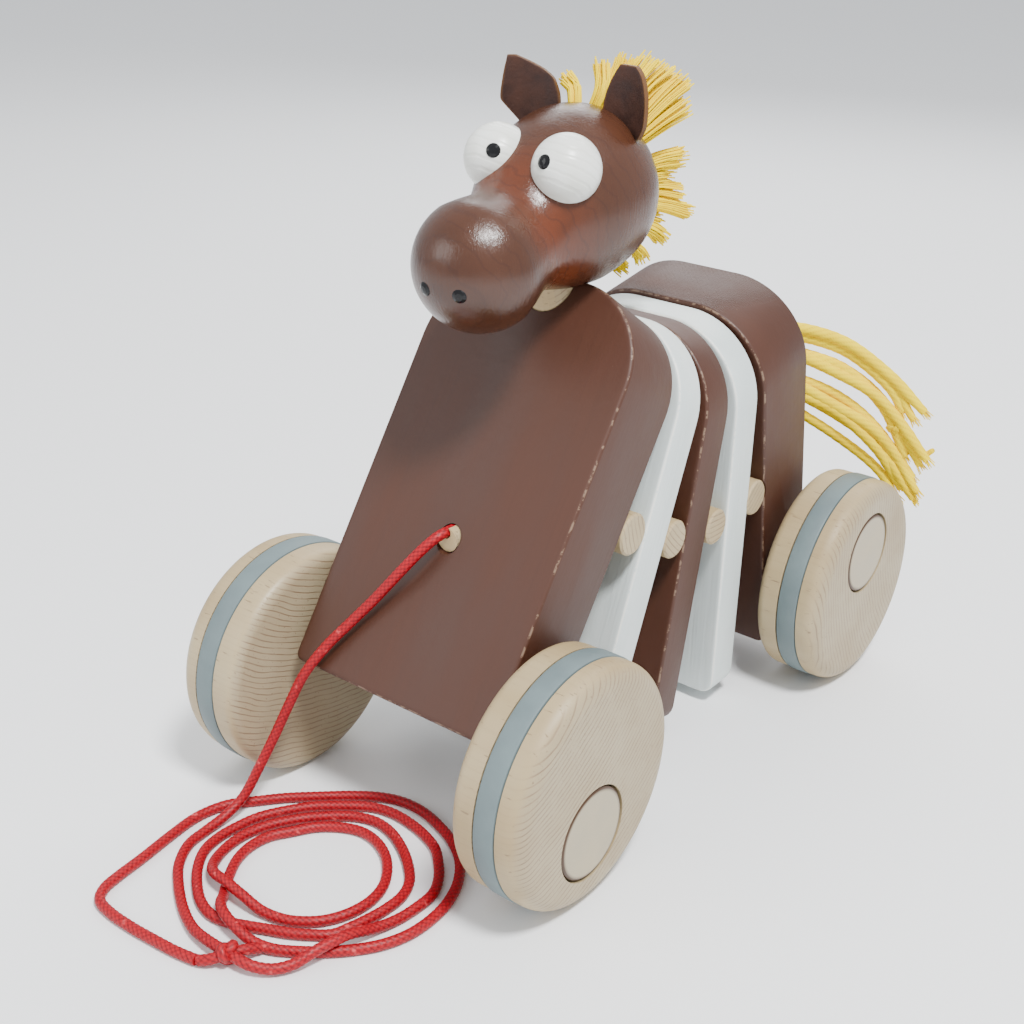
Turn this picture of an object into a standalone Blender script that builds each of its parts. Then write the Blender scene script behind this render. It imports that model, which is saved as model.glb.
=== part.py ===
"""Wooden pull-along horse: a fan of rocking boards on four eccentric wheels, strung on its own pull cord.

Frame: the horse faces -Y, its left side is +X, +Z is up, the floor is z = 0 under the tyres and x = 0 is
the plane of symmetry.  All dimensions below are in millimetres and degrees; meshes are made in metres.
"""
import math

import bmesh
import bpy
from mathutils import Matrix, Vector

MM = 0.001
GAP = 0.3                      # clearance left between pieces that touch

# ---- wheels ---------------------------------------------------------------------------------------------
WHEEL_RADIUS = 29.8
TYRE_RADIUS = 30.1             # the rubber band stands a little proud of the wood
WHEEL_WIDTH = 19.3
TRACK_HALF = 53.4              # outer faces of the wheels
OUTER_ROUND = 4.5
INNER_ROUND = 3.0
BAND_FROM_FACE = 6.3
BAND_WIDTH = 6.2
BAND_DEPTH = 1.4
FRONT_WHEEL_Y = -71.0
REAR_WHEEL_Y = 62.4
ECCENTRICITY = 10.5            # axle and plug both sit this far from the wheel's centre
FRONT_PLUG_PHASE = -99.5
REAR_PLUG_PHASE = 97.9
PLUG_TO_AXLE = 170.0
PLUG_RADIUS = 11.4
PLUG_RING = 0.5
PLUG_LENGTH = 7.0
AXLE_RADIUS = 3.0
AXLE_CLEARANCE = 0.35
AXLE_SEAT = 10.0               # depth of the blind axle bore in each wheel

# ---- boards: tilt back, front bottom edge (y, z), height, thickness, bottom corner radius ------------------
BOARD_HALF_WIDTH = 30.6
TOP_CORNER_RADIUS = 22.0
EDGE_EASE = 0.7
BOARDS = {
    "chest_board": (33.4, (-83.1, 38.1), 108.7, 22.5, 2.0),
    "front_slat": (21.1, (-42.5, 16.7), 107.2, 11.0, 4.5),
    "middle_slat": (10.4, (-12.7, 7.5), 106.8, 11.0, 4.5),
    "rear_slat": (-0.6, (19.0, 3.3), 107.4, 11.0, 4.5),
    "rump_board": (-9.9, (47.1, 8.4), 104.9, 23.0, 2.0),
}

# ---- rocker pegs between the boards, and the cord that strings them ----------------------------------------
PEG_RADII = (5.4, 5.1, 4.9, 5.0)
PEG_HEIGHTS = (71.0, 62.4, 58.5, 60.1)
CORD_RADIUS = 1.25
SLAT_BORE = 1.9
HOLE_UP_CHEST = 40.8           # cord hole on the chest, measured up the board's front face
HOLE_RADIUS = 3.3
PEG_SLOT_HALF_WIDTH = 2.5      # slot across each peg, which lets the cord bend in it
PEG_SLOT_HALF_HEIGHTS = (4.3, 3.7, 3.7, 3.7)
CORD_END_GAP = 0.6
WEDGE_LENGTH = 12.0
KNOT_POCKET = (6.0, 9.0)       # radius and depth of the rear counterbore

# ---- head ------------------------------------------------------------------------------------------------
MUZZLE = (-50.9, 136.7)
SKULL = (-17.0, 147.4)
MUZZLE_RADIUS = 15.5
SKULL_RADIUS = 20.6
SKULL_FRONT_LENGTH = 26.0      # the skull is blunter than a ball towards the muzzle
SKULL_FRONT_POWER = 2.4
BLEND_POWER = 4.0
NECK_RADIUS = 7.0
NECK_STATION = 23.8            # along the head's axis from the muzzle's centre
NECK_REACH = (12.0, 19.0)      # from the chest's face: up into the head, down into the chest
EYE_RADIUS = 8.0
EYE_CENTRES = {"left": (10.3, -33.7, 156.8), "right": (-9.1, -33.7, 156.6)}
PUPIL_DIRECTIONS = {"left": (-0.11, -0.94, 0.33), "right": (0.45, -0.81, 0.38)}
PUPIL_HEAD = (1.8, 0.9)        # radius and height of a domed pin head
PIN_SHANK = (0.5, 3.0)
PIN_SEAT_DEPTH = 0.35
NOSTRIL_DIRECTIONS = {"left": (0.37, -0.90, -0.21), "right": (-0.22, -0.95, -0.21)}
# height above the root, then the inner and the outer edge at that height
EAR_STATIONS = {
    "left": ((-2.5, -2.6, 2.6), (0.4, -6.4, 5.0), (2.0, -8.1, 5.4), (4.6, -8.0, 5.5), (7.0, -7.5, 5.2),
             (9.6, -6.6, 4.1), (11.8, -5.5, 2.6), (13.4, -4.4, 0.2)),
    "right": ((-2.5, -3.4, 4.6), (0.2, -4.6, 7.0), (2.7, -5.4, 9.1), (5.0, -5.0, 9.0), (8.3, -3.4, 8.6),
              (10.2, -0.4, 8.3), (11.6, 3.0, 8.0), (12.9, 6.2, 7.8)),
}
EAR_THICKNESS = 1.6
EAR_ROOTS = {"left": (13.4, -12.5, 163.8), "right": (-13.4, -12.5, 163.8)}
EAR_TURN = 17.0                # the ears face forwards and a little inwards
EAR_CUP = 0.035                # how strongly the flap is cupped, per mm across
# mane: angle above the horizontal behind the skull's centre, reach from that centre and half width
MANE_SECTIONS = (
    (112.0, 24.0, 4.4), (100.0, 28.0, 4.4), (86.0, 31.5, 4.4), (70.0, 34.5, 4.4), (56.0, 37.0, 5.0),
    (42.0, 39.5, 8.0), (28.0, 40.5, 9.5), (12.0, 39.0, 10.0), (-4.0, 39.5, 10.5), (-18.0, 39.5, 10.0),
    (-32.0, 35.0, 9.0), (-44.0, 29.0, 8.0), (-54.0, 23.5, 6.5),
)
MANE_SLOT_HALF = 1.6
MANE_SLOT_DEPTH = 3.0

# ---- tail --------------------------------------------------------------------------------------------------
TAIL_HOLE_RADIUS = 4.8
TAIL_HOLE_UP = 75.8            # measured up the rump's back face
TAIL_HOLE_DEPTH = 14.0
# centre of the bundle, half height and half thickness
TAIL_SECTIONS = (
    ((0.0, 58.5, 87.0), 4.2, 4.2),
    ((2.5, 68.0, 87.5), 6.5, 4.8),
    ((9.0, 80.0, 83.5), 11.5, 5.0),
    ((19.0, 90.0, 77.0), 14.5, 4.6),
    ((30.0, 95.4, 69.0), 14.5, 4.2),
    ((40.0, 97.2, 61.0), 12.5, 3.8),
    ((47.0, 97.8, 55.0), 9.0, 3.0),
)

# ---- free pull cord (x, y, z): straight through the wedge and round the lip of its hole, then the free route --
CORD_OFFSET = (-0.6, 1.7)     # sideways and upwards from the hole's axis, leaving room for the wedge
CORD_LEAD = (
    (-0.7, -62.4, 73.8), (-1.5, -64.6, 72.8), (-3.4, -67.6, 69.9),
)
CORD_ROUTE = (
    # down the chest's face and over its bottom edge
    (-6.8, -71.3, 64.4), (-11.4, -74.4, 57.5),
    (-16.0, -78.0, 51.0), (-20.3, -82.1, 44.6), (-24.0, -86.0, 37.3), (-27.0, -88.4, 29.0), (-29.4, -91.3, 20.5),
    (-31.0, -95.5, 12.5), (-32.2, -100.3, 5.4), (-32.9, -106.0, 2.3), (-33.0, -112.5, 1.3),
    # along the outside of the coil to the knot
    (-32.0, -118.5, 1.3), (-28.0, -124.8, 1.3), (-22.0, -130.0, 1.3), (-15.0, -134.6, 1.3), (-8.0, -137.8, 1.8),
    (-1.5, -139.1, 2.7), (5.0, -139.3, 3.2), (10.6, -138.6, 2.6), (14.8, -135.8, 1.8),
    # first turn, over the last one on its way out
    (17.6, -131.8, 2.1), (19.4, -127.5, 3.6), (20.7, -123.0, 4.1), (21.5, -118.5, 3.7), (22.9, -112.5, 2.0),
    (24.3, -106.5, 1.3), (25.0, -100.5, 1.3), (24.7, -94.5, 1.3), (22.2, -89.5, 1.3), (18.6, -85.3, 1.3),
    (14.0, -81.3, 1.3), (8.5, -79.0, 1.3), (3.0, -77.8, 1.3), (-3.0, -77.5, 1.3), (-8.7, -79.0, 1.3),
    (-14.2, -83.0, 1.3), (-19.8, -88.0, 1.3), (-24.0, -93.8, 1.3), (-27.2, -100.0, 1.3), (-28.4, -106.0, 1.3),
    # second turn
    (-28.7, -111.5, 1.3), (-27.6, -117.0, 1.3), (-24.4, -122.0, 1.3), (-19.6, -126.6, 1.3), (-14.2, -130.2, 1.3),
    (-9.0, -131.8, 1.3), (-4.2, -131.2, 1.3), (0.2, -129.3, 1.3), (4.4, -127.2, 1.3), (9.0, -125.0, 1.3),
    (13.2, -122.2, 1.3), (16.6, -119.2, 1.3), (18.0, -115.4, 1.3), (19.2, -110.5, 1.3), (20.0, -105.0, 1.3),
    (19.8, -99.5, 1.3), (17.6, -94.5, 1.3), (13.4, -90.2, 1.3), (8.0, -86.4, 1.3), (2.0, -83.6, 1.3),
    (-4.0, -82.8, 1.3), (-9.6, -84.8, 1.3), (-14.8, -89.2, 1.3), (-19.2, -94.3, 1.3), (-22.4, -99.7, 1.3),
    # third turn, over the fourth
    (-24.3, -105.0, 1.3), (-24.7, -110.5, 1.3), (-23.7, -115.8, 1.3), (-21.0, -120.5, 2.2), (-17.0, -123.4, 3.6),
    (-12.0, -124.2, 4.1), (-6.6, -124.4, 3.3), (-0.6, -124.0, 1.7), (5.2, -122.4, 1.3), (9.8, -119.4, 1.3),
    (12.8, -115.8, 1.3), (14.8, -111.0, 1.3), (15.4, -105.5, 1.3), (14.2, -100.0, 1.3), (11.2, -95.2, 1.3),
    (7.0, -91.2, 1.3), (1.8, -88.6, 1.3), (-3.8, -88.0, 1.3), (-9.0, -90.0, 1.3), (-13.6, -93.8, 1.3),
    (-16.8, -98.8, 1.3), (-19.6, -103.7, 1.3), (-20.3, -109.0, 1.3),
    # fourth turn, over the second
    (-19.2, -114.2, 1.3), (-16.8, -118.7, 1.3), (-14.0, -122.6, 1.3), (-11.2, -126.0, 1.8), (-8.2, -129.4, 3.4),
    (-4.4, -131.8, 4.1), (0.8, -132.9, 3.4), (5.6, -132.6, 2.1), (10.4, -130.8, 1.4), (15.2, -127.6, 1.3),
    (19.6, -124.0, 1.3), (23.8, -119.6, 1.3), (27.4, -114.4, 1.3), (29.6, -108.5, 1.3), (30.2, -102.0, 1.3),
    (29.4, -95.0, 1.3), (26.6, -87.7, 1.3), (21.7, -81.2, 1.3), (15.4, -76.6, 1.3), (8.6, -73.8, 1.3),
    (2.0, -72.2, 1.3), (-4.5, -72.4, 1.3), (-10.5, -74.8, 1.3), (-16.2, -79.0, 1.3), (-22.3, -84.6, 1.3),
    (-28.2, -90.4, 1.3), (-33.0, -96.3, 1.3),
    # out to the left, round a tight bend and back to the knot
    (-36.6, -100.9, 1.3), (-38.4, -106.0, 1.3), (-38.9, -111.5, 1.3), (-38.0, -119.1, 1.3), (-36.4, -129.0, 1.3),
    (-35.4, -136.8, 1.3), (-34.3, -141.6, 1.3), (-31.6, -144.8, 1.3), (-26.4, -145.9, 1.3), (-19.6, -146.0, 1.3),
    (-13.2, -145.6, 1.3), (-5.8, -144.9, 1.3), (0.0, -143.9, 1.4),
)
CORD_POINTS = 112
KNOT_CENTRE = (5.0, -139.3, 3.2)
KNOT_RADIUS = 3.0
KNOT_HALF_LENGTH = 2.6


# ---- materials -----------------------------------------------------------------------------------------------
def material(name, colour, roughness, metallic=0.0):
    found = bpy.data.materials.get(name)
    if found:
        return found
    made = bpy.data.materials.new(name)
    made.use_nodes = True
    shader = made.node_tree.nodes["Principled BSDF"]
    shader.inputs["Base Color"].default_value = (*colour, 1.0)
    shader.inputs["Roughness"].default_value = roughness
    shader.inputs["Metallic"].default_value = metallic
    made.diffuse_color = (*colour, 1.0)
    return made


def brown_paint():
    return material("brown_paint", (0.115, 0.040, 0.024), 0.38)


def white_paint():
    return material("white_paint", (0.78, 0.82, 0.80), 0.45)


def beech():
    return material("beech", (0.62, 0.50, 0.33), 0.55)


def grey_rubber():
    return material("grey_rubber", (0.25, 0.32, 0.33), 0.6)


def red_cord():
    return material("red_cord", (0.55, 0.004, 0.02), 0.7)


def yellow_yarn():
    return material("yellow_yarn", (0.85, 0.62, 0.02), 0.85)


def black_gloss():
    return material("black_gloss", (0.006, 0.006, 0.007), 0.15)


def brown_leather():
    return material("brown_leather", (0.055, 0.022, 0.012), 0.6)


# ---- making objects ----------------------------------------------------------------------------------------
def add_object(name, bm, surface, sharp_angle=40.0):
    bmesh.ops.recalc_face_normals(bm, faces=bm.faces)
    mesh = bpy.data.meshes.new(name)
    bm.to_mesh(mesh)
    bm.free()
    mesh.shade_smooth()
    mesh.set_sharp_from_angle(angle=math.radians(sharp_angle))
    made = bpy.data.objects.new(name, mesh)
    bpy.context.scene.collection.objects.link(made)
    if surface:
        mesh.materials.append(surface)
    return made


def add_pivot(name, place):
    empty = bpy.data.objects.new(name, None)
    empty.location = Vector(place) * MM
    empty.empty_display_size = 0.01
    bpy.context.scene.collection.objects.link(empty)
    return empty


def hang(piece, pivot):
    bpy.context.view_layer.update()
    piece.parent = pivot
    piece.matrix_parent_inverse = pivot.matrix_world.inverted()


def cut(target, cutter):
    cutter.hide_render = True
    cutter.display_type = "WIRE"
    boolean = target.modifiers.new("cut_" + cutter.name, "BOOLEAN")
    boolean.operation = "DIFFERENCE"
    boolean.solver = "EXACT"
    boolean.object = cutter


def skin_rings(rings, surface, name, sharp_angle=40.0):
    """Close a stack of equal rings of points (in mm) into one body with flat ends."""
    bm = bmesh.new()
    loops = [[bm.verts.new(Vector(p) * MM) for p in ring] for ring in rings]
    count = len(rings[0])
    for low, high in zip(loops, loops[1:]):
        for i in range(count):
            j = (i + 1) % count
            bm.faces.new((low[i], low[j], high[j], high[i]))
    bm.faces.new(loops[0][::-1])
    bm.faces.new(loops[-1])
    return add_object(name, bm, surface, sharp_angle)


def across(direction):
    """Two unit vectors square to a direction, the first one as near to +X as it can be."""
    along = Vector(direction).normalized()
    side = Vector((1.0, 0.0, 0.0))
    if abs(along.x) > 0.9:
        side = Vector((0.0, 1.0, 0.0))
    first = (side - along * side.dot(along)).normalized()
    return first, along.cross(first)


def turned(name, profile, start, direction, surface, segments=32, sharp_angle=40.0):
    """A lathe piece: profile is a list of (distance along the axis, radius) from one end to the other."""
    along = Vector(direction).normalized()
    first, second = across(along)
    bm = bmesh.new()
    loops = []
    for distance, radius in profile:
        centre = Vector(start) + along * distance
        if radius < 1e-6:
            loops.append([bm.verts.new(centre * MM)])
            continue
        ring = []
        for i in range(segments):
            angle = 2.0 * math.pi * i / segments
            offset = first * math.cos(angle) + second * math.sin(angle)
            ring.append(bm.verts.new((centre + offset * radius) * MM))
        loops.append(ring)
    for low, high in zip(loops, loops[1:]):
        for i in range(segments):
            j = (i + 1) % segments
            corners = [low[i % len(low)], low[j % len(low)], high[j % len(high)], high[i % len(high)]]
            unique = list(dict.fromkeys(corners))
            bm.faces.new(unique)
    if len(loops[0]) > 1:
        bm.faces.new(loops[0][::-1])
    if len(loops[-1]) > 1:
        bm.faces.new(loops[-1])
    return add_object(name, bm, surface, sharp_angle)


def rod(name, radius, start, end, surface, segments=24, chamfer=0.0):
    length = (Vector(end) - Vector(start)).length
    profile = [(0.0, radius), (length, radius)]
    if chamfer:
        profile = [(0.0, radius - chamfer), (chamfer, radius), (length - chamfer, radius), (length, radius - chamfer)]
    return turned(name, profile, start, Vector(end) - Vector(start), surface, segments)


def hole(target, radius, start, end, segments=24):
    cutter = rod("cutter_" + target.name, radius, start, end, None, segments)
    cut(target, cutter)


def arc(centre, radius, start_deg, end_deg, steps):
    points = []
    for i in range(steps + 1):
        angle = math.radians(start_deg + (end_deg - start_deg) * i / steps)
        points.append((centre[0] + radius * math.cos(angle), centre[1] + radius * math.sin(angle)))
    return points


# ---- boards -------------------------------------------------------------------------------------------------
def board_vectors(name):
    tilt, (y, z), height, thickness, _ = BOARDS[name]
    angle = math.radians(tilt)
    up = Vector((0.0, math.sin(angle), math.cos(angle)))
    back = Vector((0.0, math.cos(angle), -math.sin(angle)))
    return Vector((0.0, y, z)), up, back, height, thickness


def board_point(name, up_board, into_board, x=0.0):
    origin, up, back, _, _ = board_vectors(name)
    return origin + up * up_board + back * into_board + Vector((x, 0.0, 0.0))


def board_outline(height, bottom_radius, grow=0.0):
    half = BOARD_HALF_WIDTH + grow
    top = height + grow
    corner = TOP_CORNER_RADIUS + grow
    low = bottom_radius
    points = arc((half - low, low - grow), low, -90, 0, 3)
    points += arc((half - corner, top - corner), corner, 0, 90, 9)
    points += arc((-half + corner, top - corner), corner, 90, 180, 9)
    points += arc((-half + low, low - grow), low, 180, 270, 3)
    return points


def make_board(name, surface, grow=0.0, label=None):
    _, _, height, thickness, bottom_radius = BOARDS[name]
    rings = []
    for depth in (-grow, thickness + grow):
        outline = board_outline(height, bottom_radius, grow)
        rings.append([board_point(name, up, depth, x) for x, up in outline])
    made = skin_rings(rings, surface, label or name, 30.0)
    if surface:
        ease = made.modifiers.new("eased_edges", "BEVEL")
        ease.width = EDGE_EASE * MM
        ease.segments = 1
        ease.limit_method = "ANGLE"
        ease.angle_limit = math.radians(60.0)
    return made


def peg_centre(index):
    """Middle of the wedge-shaped gap between two boards, at the peg's height."""
    names = list(BOARDS)
    origin_a, _, back_a, _, thickness_a = board_vectors(names[index])
    origin_b, _, back_b, _, _ = board_vectors(names[index + 1])
    plane_a = back_a.dot(origin_a) + thickness_a
    plane_b = back_b.dot(origin_b)
    z = PEG_HEIGHTS[index]
    y = (plane_a + plane_b - z * (back_a.z + back_b.z)) / (back_a.y + back_b.y)
    return Vector((0.0, y, z))


def make_boards():
    made = {}
    paints = (brown_paint, white_paint, brown_paint, white_paint, brown_paint)
    for name, paint in zip(BOARDS, paints):
        made[name] = make_board(name, paint())
    names = list(BOARDS)
    reach = Vector((BOARD_HALF_WIDTH + 5.0, 0.0, 0.0))
    for index, radius in enumerate(PEG_RADII):
        centre = peg_centre(index)
        origin, _, back, _, _ = board_vectors(names[index + 1])
        if radius + GAP < back.dot(origin - centre):
            continue
        for name in names[index:index + 2]:
            hole(made[name], radius + GAP, centre - reach, centre + reach, 32)
    return made


# ---- cord bores ---------------------------------------------------------------------------------------------
def cord_stations():
    """The points that the inner cord passes through: chest hole, four pegs, back of the rump."""
    chest_hole = board_point("chest_board", HOLE_UP_CHEST, 0.0)
    pegs = [peg_centre(i) for i in range(4)]
    origin, _, back, _, thickness = board_vectors("rump_board")
    reach = (back.dot(origin) + thickness - back.dot(pegs[3])) / back.y
    rump_back = pegs[3] + Vector((0.0, reach, 0.0))
    return chest_hole, pegs, rump_back


def drill_cord_bores(boards):
    chest_hole, pegs, rump_back = cord_stations()
    into = (pegs[0] - chest_hole).normalized()
    hole(boards["chest_board"], HOLE_RADIUS, chest_hole - into * 8.0, pegs[0] + into * 2.0)
    slats = ("front_slat", "middle_slat", "rear_slat")
    for name, low, high in zip(slats, pegs, pegs[1:]):
        along = (high - low).normalized()
        hole(boards[name], SLAT_BORE, low - along * 2.0, high + along * 2.0, 16)
    behind = Vector((0.0, 4.0, 0.0))
    hole(boards["rump_board"], SLAT_BORE, pegs[3] - behind * 0.5, rump_back + behind, 16)
    pocket_radius, pocket_depth = KNOT_POCKET
    pocket_start = rump_back - Vector((0.0, pocket_depth, 0.0))
    hole(boards["rump_board"], pocket_radius, pocket_start, rump_back + behind * 2.0)


def make_pegs():
    made = []
    chest_hole, pegs, rump_back = cord_stations()
    route = [chest_hole, *pegs, rump_back]
    names = ("front_rocker_peg", "second_rocker_peg", "third_rocker_peg", "rear_rocker_peg")
    half = Vector((BOARD_HALF_WIDTH, 0.0, 0.0))
    for index, name in enumerate(names):
        centre = pegs[index]
        peg = rod(name, PEG_RADII[index], centre - half, centre + half, beech(), 28, 0.5)
        before = (centre - route[index]).normalized()
        after = (route[index + 2] - centre).normalized()
        through = (before + after).normalized()
        lift = across(through)[1]
        half_width, half_height = PEG_SLOT_HALF_WIDTH, PEG_SLOT_HALF_HEIGHTS[index]
        outline = arc((0.0, half_height - half_width), half_width, 0, 180, 8)
        outline += arc((0.0, half_width - half_height), half_width, 180, 360, 8)
        rings = []
        for side in (-8.0, 8.0):
            middle = centre + through * side
            rings.append([middle + Vector((x, 0.0, 0.0)) + lift * up for x, up in outline])
        cut(peg, skin_rings(rings, None, "cutter_slot_" + name))
        made.append(peg)
    return made


def make_inner_cord():
    """The pull cord runs on inside the horse, one straight run from pivot to pivot in each board."""
    chest_hole, pegs, rump_back = cord_stations()
    into = (pegs[0] - chest_hole).normalized()
    starts = [chest_hole + into * (WEDGE_LENGTH + 3.0), *pegs]
    ends = [*pegs, rump_back - Vector((0.0, 4.5, 0.0))]
    names = ("cord_in_chest", "cord_in_front_slat", "cord_in_middle_slat", "cord_in_rear_slat", "cord_in_rump")
    made = []
    for name, low, high in zip(names, starts, ends):
        along = (high - low).normalized()
        start = low if name == names[0] else low + along * CORD_END_GAP
        end = high if name == names[-1] else high - along * CORD_END_GAP
        made.append(rod(name, CORD_RADIUS, start, end, red_cord(), 10))
    knot_start = ends[-1] + Vector((0.0, GAP, 0.0))
    profile = ball_profile(4.0, 6)
    made.append(turned("stop_knot", profile, knot_start, (0.0, 1.0, 0.0), red_cord(), 14))
    return made


def ball_profile(radius, steps):
    points = []
    for i in range(steps + 1):
        angle = math.pi * i / steps
        points.append((radius - radius * math.cos(angle), radius * math.sin(angle)))
    return points


# ---- wheels -------------------------------------------------------------------------------------------------
def wheel_profile():
    """Radius against distance from the outer face."""
    radius, width = WHEEL_RADIUS, WHEEL_WIDTH
    groove = WHEEL_RADIUS - BAND_DEPTH
    points = [(0.0, 0.0)]
    for angle_step in range(5):
        angle = math.radians(90.0 * angle_step / 4)
        points.append((OUTER_ROUND * (1.0 - math.sin(angle)), radius - OUTER_ROUND * (1.0 - math.cos(angle))))
    points = [(0.0, 0.0)] + sorted(points[1:])
    points += [(BAND_FROM_FACE, radius), (BAND_FROM_FACE, groove)]
    points += [(BAND_FROM_FACE + BAND_WIDTH, groove), (BAND_FROM_FACE + BAND_WIDTH, radius)]
    for angle_step in range(4):
        angle = math.radians(90.0 * angle_step / 3)
        points.append((width - INNER_ROUND * (1.0 - math.sin(angle)), radius - INNER_ROUND * (1.0 - math.cos(angle))))
    points.append((width, 0.0))
    return points


def around(centre_y, phase):
    angle = math.radians(phase)
    return Vector((0.0, centre_y + ECCENTRICITY * math.cos(angle), TYRE_RADIUS + ECCENTRICITY * math.sin(angle)))


def make_wheelset(end, centre_y, plug_phase):
    made = []
    plug_centre = around(centre_y, plug_phase)
    axle_centre = around(centre_y, plug_phase + PLUG_TO_AXLE)
    pivot = add_pivot(end + "_axle_pivot", axle_centre)
    inner = TRACK_HALF - WHEEL_WIDTH
    axle_half = Vector((inner + AXLE_SEAT - GAP, 0.0, 0.0))
    made.append(rod(end + "_axle", AXLE_RADIUS, axle_centre - axle_half, axle_centre + axle_half, beech(), 24, 0.4))
    for side, sign in (("left", 1.0), ("right", -1.0)):
        face = Vector((sign * TRACK_HALF, centre_y, TYRE_RADIUS))
        inward = Vector((-sign, 0.0, 0.0))
        wheel = turned(f"{end}_wheel_{side}", wheel_profile(), face, inward, beech(), 48, 35.0)
        out = Vector((sign, 0.0, 0.0))
        plug_face = plug_centre + out * TRACK_HALF
        pocket_bottom = plug_face + inward * (PLUG_LENGTH + GAP)
        hole(wheel, PLUG_RADIUS + PLUG_RING, pocket_bottom, plug_face + out * 4.0, 32)
        bore_end = axle_centre + out * (inner + AXLE_SEAT)
        hole(wheel, AXLE_RADIUS + GAP, axle_centre + out * (inner - 3.0), bore_end, 20)
        plug = turned(f"{end}_plug_{side}", plug_profile(), plug_face, inward, beech(), 32)
        band_start = face + inward * (BAND_FROM_FACE + GAP)
        tyre = make_tyre(f"{end}_tyre_{side}", band_start, inward)
        made += [wheel, plug, tyre]
    for piece in made:
        hang(piece, pivot)
    return axle_centre


def plug_profile():
    return [(0.0, PLUG_RADIUS - 0.5), (0.5, PLUG_RADIUS), (PLUG_LENGTH, PLUG_RADIUS)]


def make_tyre(name, start, inward):
    width = BAND_WIDTH - 2.0 * GAP
    inner = WHEEL_RADIUS - BAND_DEPTH + GAP
    tyre = turned(name, tyre_profile(width), start, inward, grey_rubber(), 48, 35.0)
    bore = turned("cutter_" + name, [(-2.0, inner), (width + 2.0, inner)], start, inward, None, 48)
    cut(tyre, bore)
    return tyre


def tyre_profile(width):
    shoulder = 0.4
    outer = TYRE_RADIUS
    return [(0.0, outer - shoulder), (shoulder, outer), (width - shoulder, outer), (width, outer - shoulder)]


def bore_axles(boards, front_axle, rear_axle):
    reach = Vector((BOARD_HALF_WIDTH + 5.0, 0.0, 0.0))
    for name, axle in (("chest_board", front_axle), ("rump_board", rear_axle)):
        hole(boards[name], AXLE_RADIUS + AXLE_CLEARANCE, axle - reach, axle + reach, 24)


# ---- head -----------------------------------------------------------------------------------------------------
def head_axis():
    muzzle = Vector((0.0, *MUZZLE))
    skull = Vector((0.0, *SKULL))
    return muzzle, (skull - muzzle).normalized(), (skull - muzzle).length


def head_radius(station, skull_station):
    """Smooth union of the muzzle ball and the blunt skull, at a distance from the muzzle's centre."""
    muzzle = math.sqrt(max(MUZZLE_RADIUS ** 2 - station ** 2, 0.0))
    ahead = skull_station - station
    if ahead > 0.0:
        rest = max(1.0 - (ahead / SKULL_FRONT_LENGTH) ** SKULL_FRONT_POWER, 0.0)
        skull = SKULL_RADIUS * rest ** (1.0 / SKULL_FRONT_POWER)
    else:
        skull = math.sqrt(max(SKULL_RADIUS ** 2 - ahead ** 2, 0.0))
    return (muzzle ** BLEND_POWER + skull ** BLEND_POWER) ** (1.0 / BLEND_POWER)


def head_profile(steps=26):
    _, _, skull_station = head_axis()
    start, end = -MUZZLE_RADIUS, skull_station + SKULL_RADIUS
    points = []
    for i in range(steps + 1):
        spread = 0.5 - 0.5 * math.cos(math.pi * i / steps)
        station = start + (end - start) * spread
        radius = head_radius(station, skull_station)
        points.append((station, 0.0 if i in (0, steps) else radius))
    return points


def make_head():
    muzzle, along, skull_station = head_axis()
    head = turned("head", head_profile(), muzzle, along, brown_paint(), 40, 60.0)
    cut(head, make_board("chest_board", None, GAP, "cutter_chest_saddle"))
    face_point, down = neck_line()
    hole(head, NECK_RADIUS + GAP, face_point - down * (NECK_REACH[0] + GAP), face_point + down * 12.0, 28)
    cut(head, mane_body("cutter_mane_slot", MANE_SLOT_HALF + GAP, SKULL_RADIUS - MANE_SLOT_DEPTH - GAP))
    return head


def neck_line():
    """Where the neck dowel's axis meets the chest's front face, and its direction down into the chest."""
    muzzle, along, _ = head_axis()
    down = Vector((0.0, -along.z, along.y)) * -1.0
    station = muzzle + along * NECK_STATION
    origin, _, back, _, _ = board_vectors("chest_board")
    travel = (back.dot(origin) - back.dot(station)) / back.dot(down)
    return station + down * travel, down


def make_neck(boards):
    face_point, down = neck_line()
    up_end = face_point - down * NECK_REACH[0]
    low_end = face_point + down * NECK_REACH[1]
    hole(boards["chest_board"], NECK_RADIUS + GAP, face_point - down * 20.0, low_end + down * GAP, 28)
    return rod("neck_dowel", NECK_RADIUS, up_end, low_end, beech(), 28, 0.5)


def mane_body(name, root_half, root_radius, surface=None):
    """A crescent along the back of the skull, narrow at its root and wide at its fringe."""
    skull = Vector((0.0, *SKULL))
    surface_radius = SKULL_RADIUS + 0.6
    last = len(MANE_SECTIONS) - 1
    rings = []
    for index, (angle_deg, outer, half) in enumerate(MANE_SECTIONS):
        if surface is None:
            angle_deg += {0: 4.0, last: -4.0}.get(index, 0.0)
            outer, half = SKULL_RADIUS + 6.0, root_half
        angle = math.radians(angle_deg)
        out = Vector((0.0, math.cos(angle), math.sin(angle)))
        shape = ((root_half, root_radius), (root_half, surface_radius), (half, surface_radius + 2.0),
                 (half, outer - 2.0), (half * 0.5, outer))
        ring = [skull + out * radius + Vector((x, 0.0, 0.0)) for x, radius in shape]
        ring += [skull + out * radius - Vector((x, 0.0, 0.0)) for x, radius in reversed(shape)]
        rings.append(ring)
    return skin_rings(rings, surface, name, 50.0)


def make_mane():
    return mane_body("mane", MANE_SLOT_HALF, SKULL_RADIUS - MANE_SLOT_DEPTH, yellow_yarn())


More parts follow.
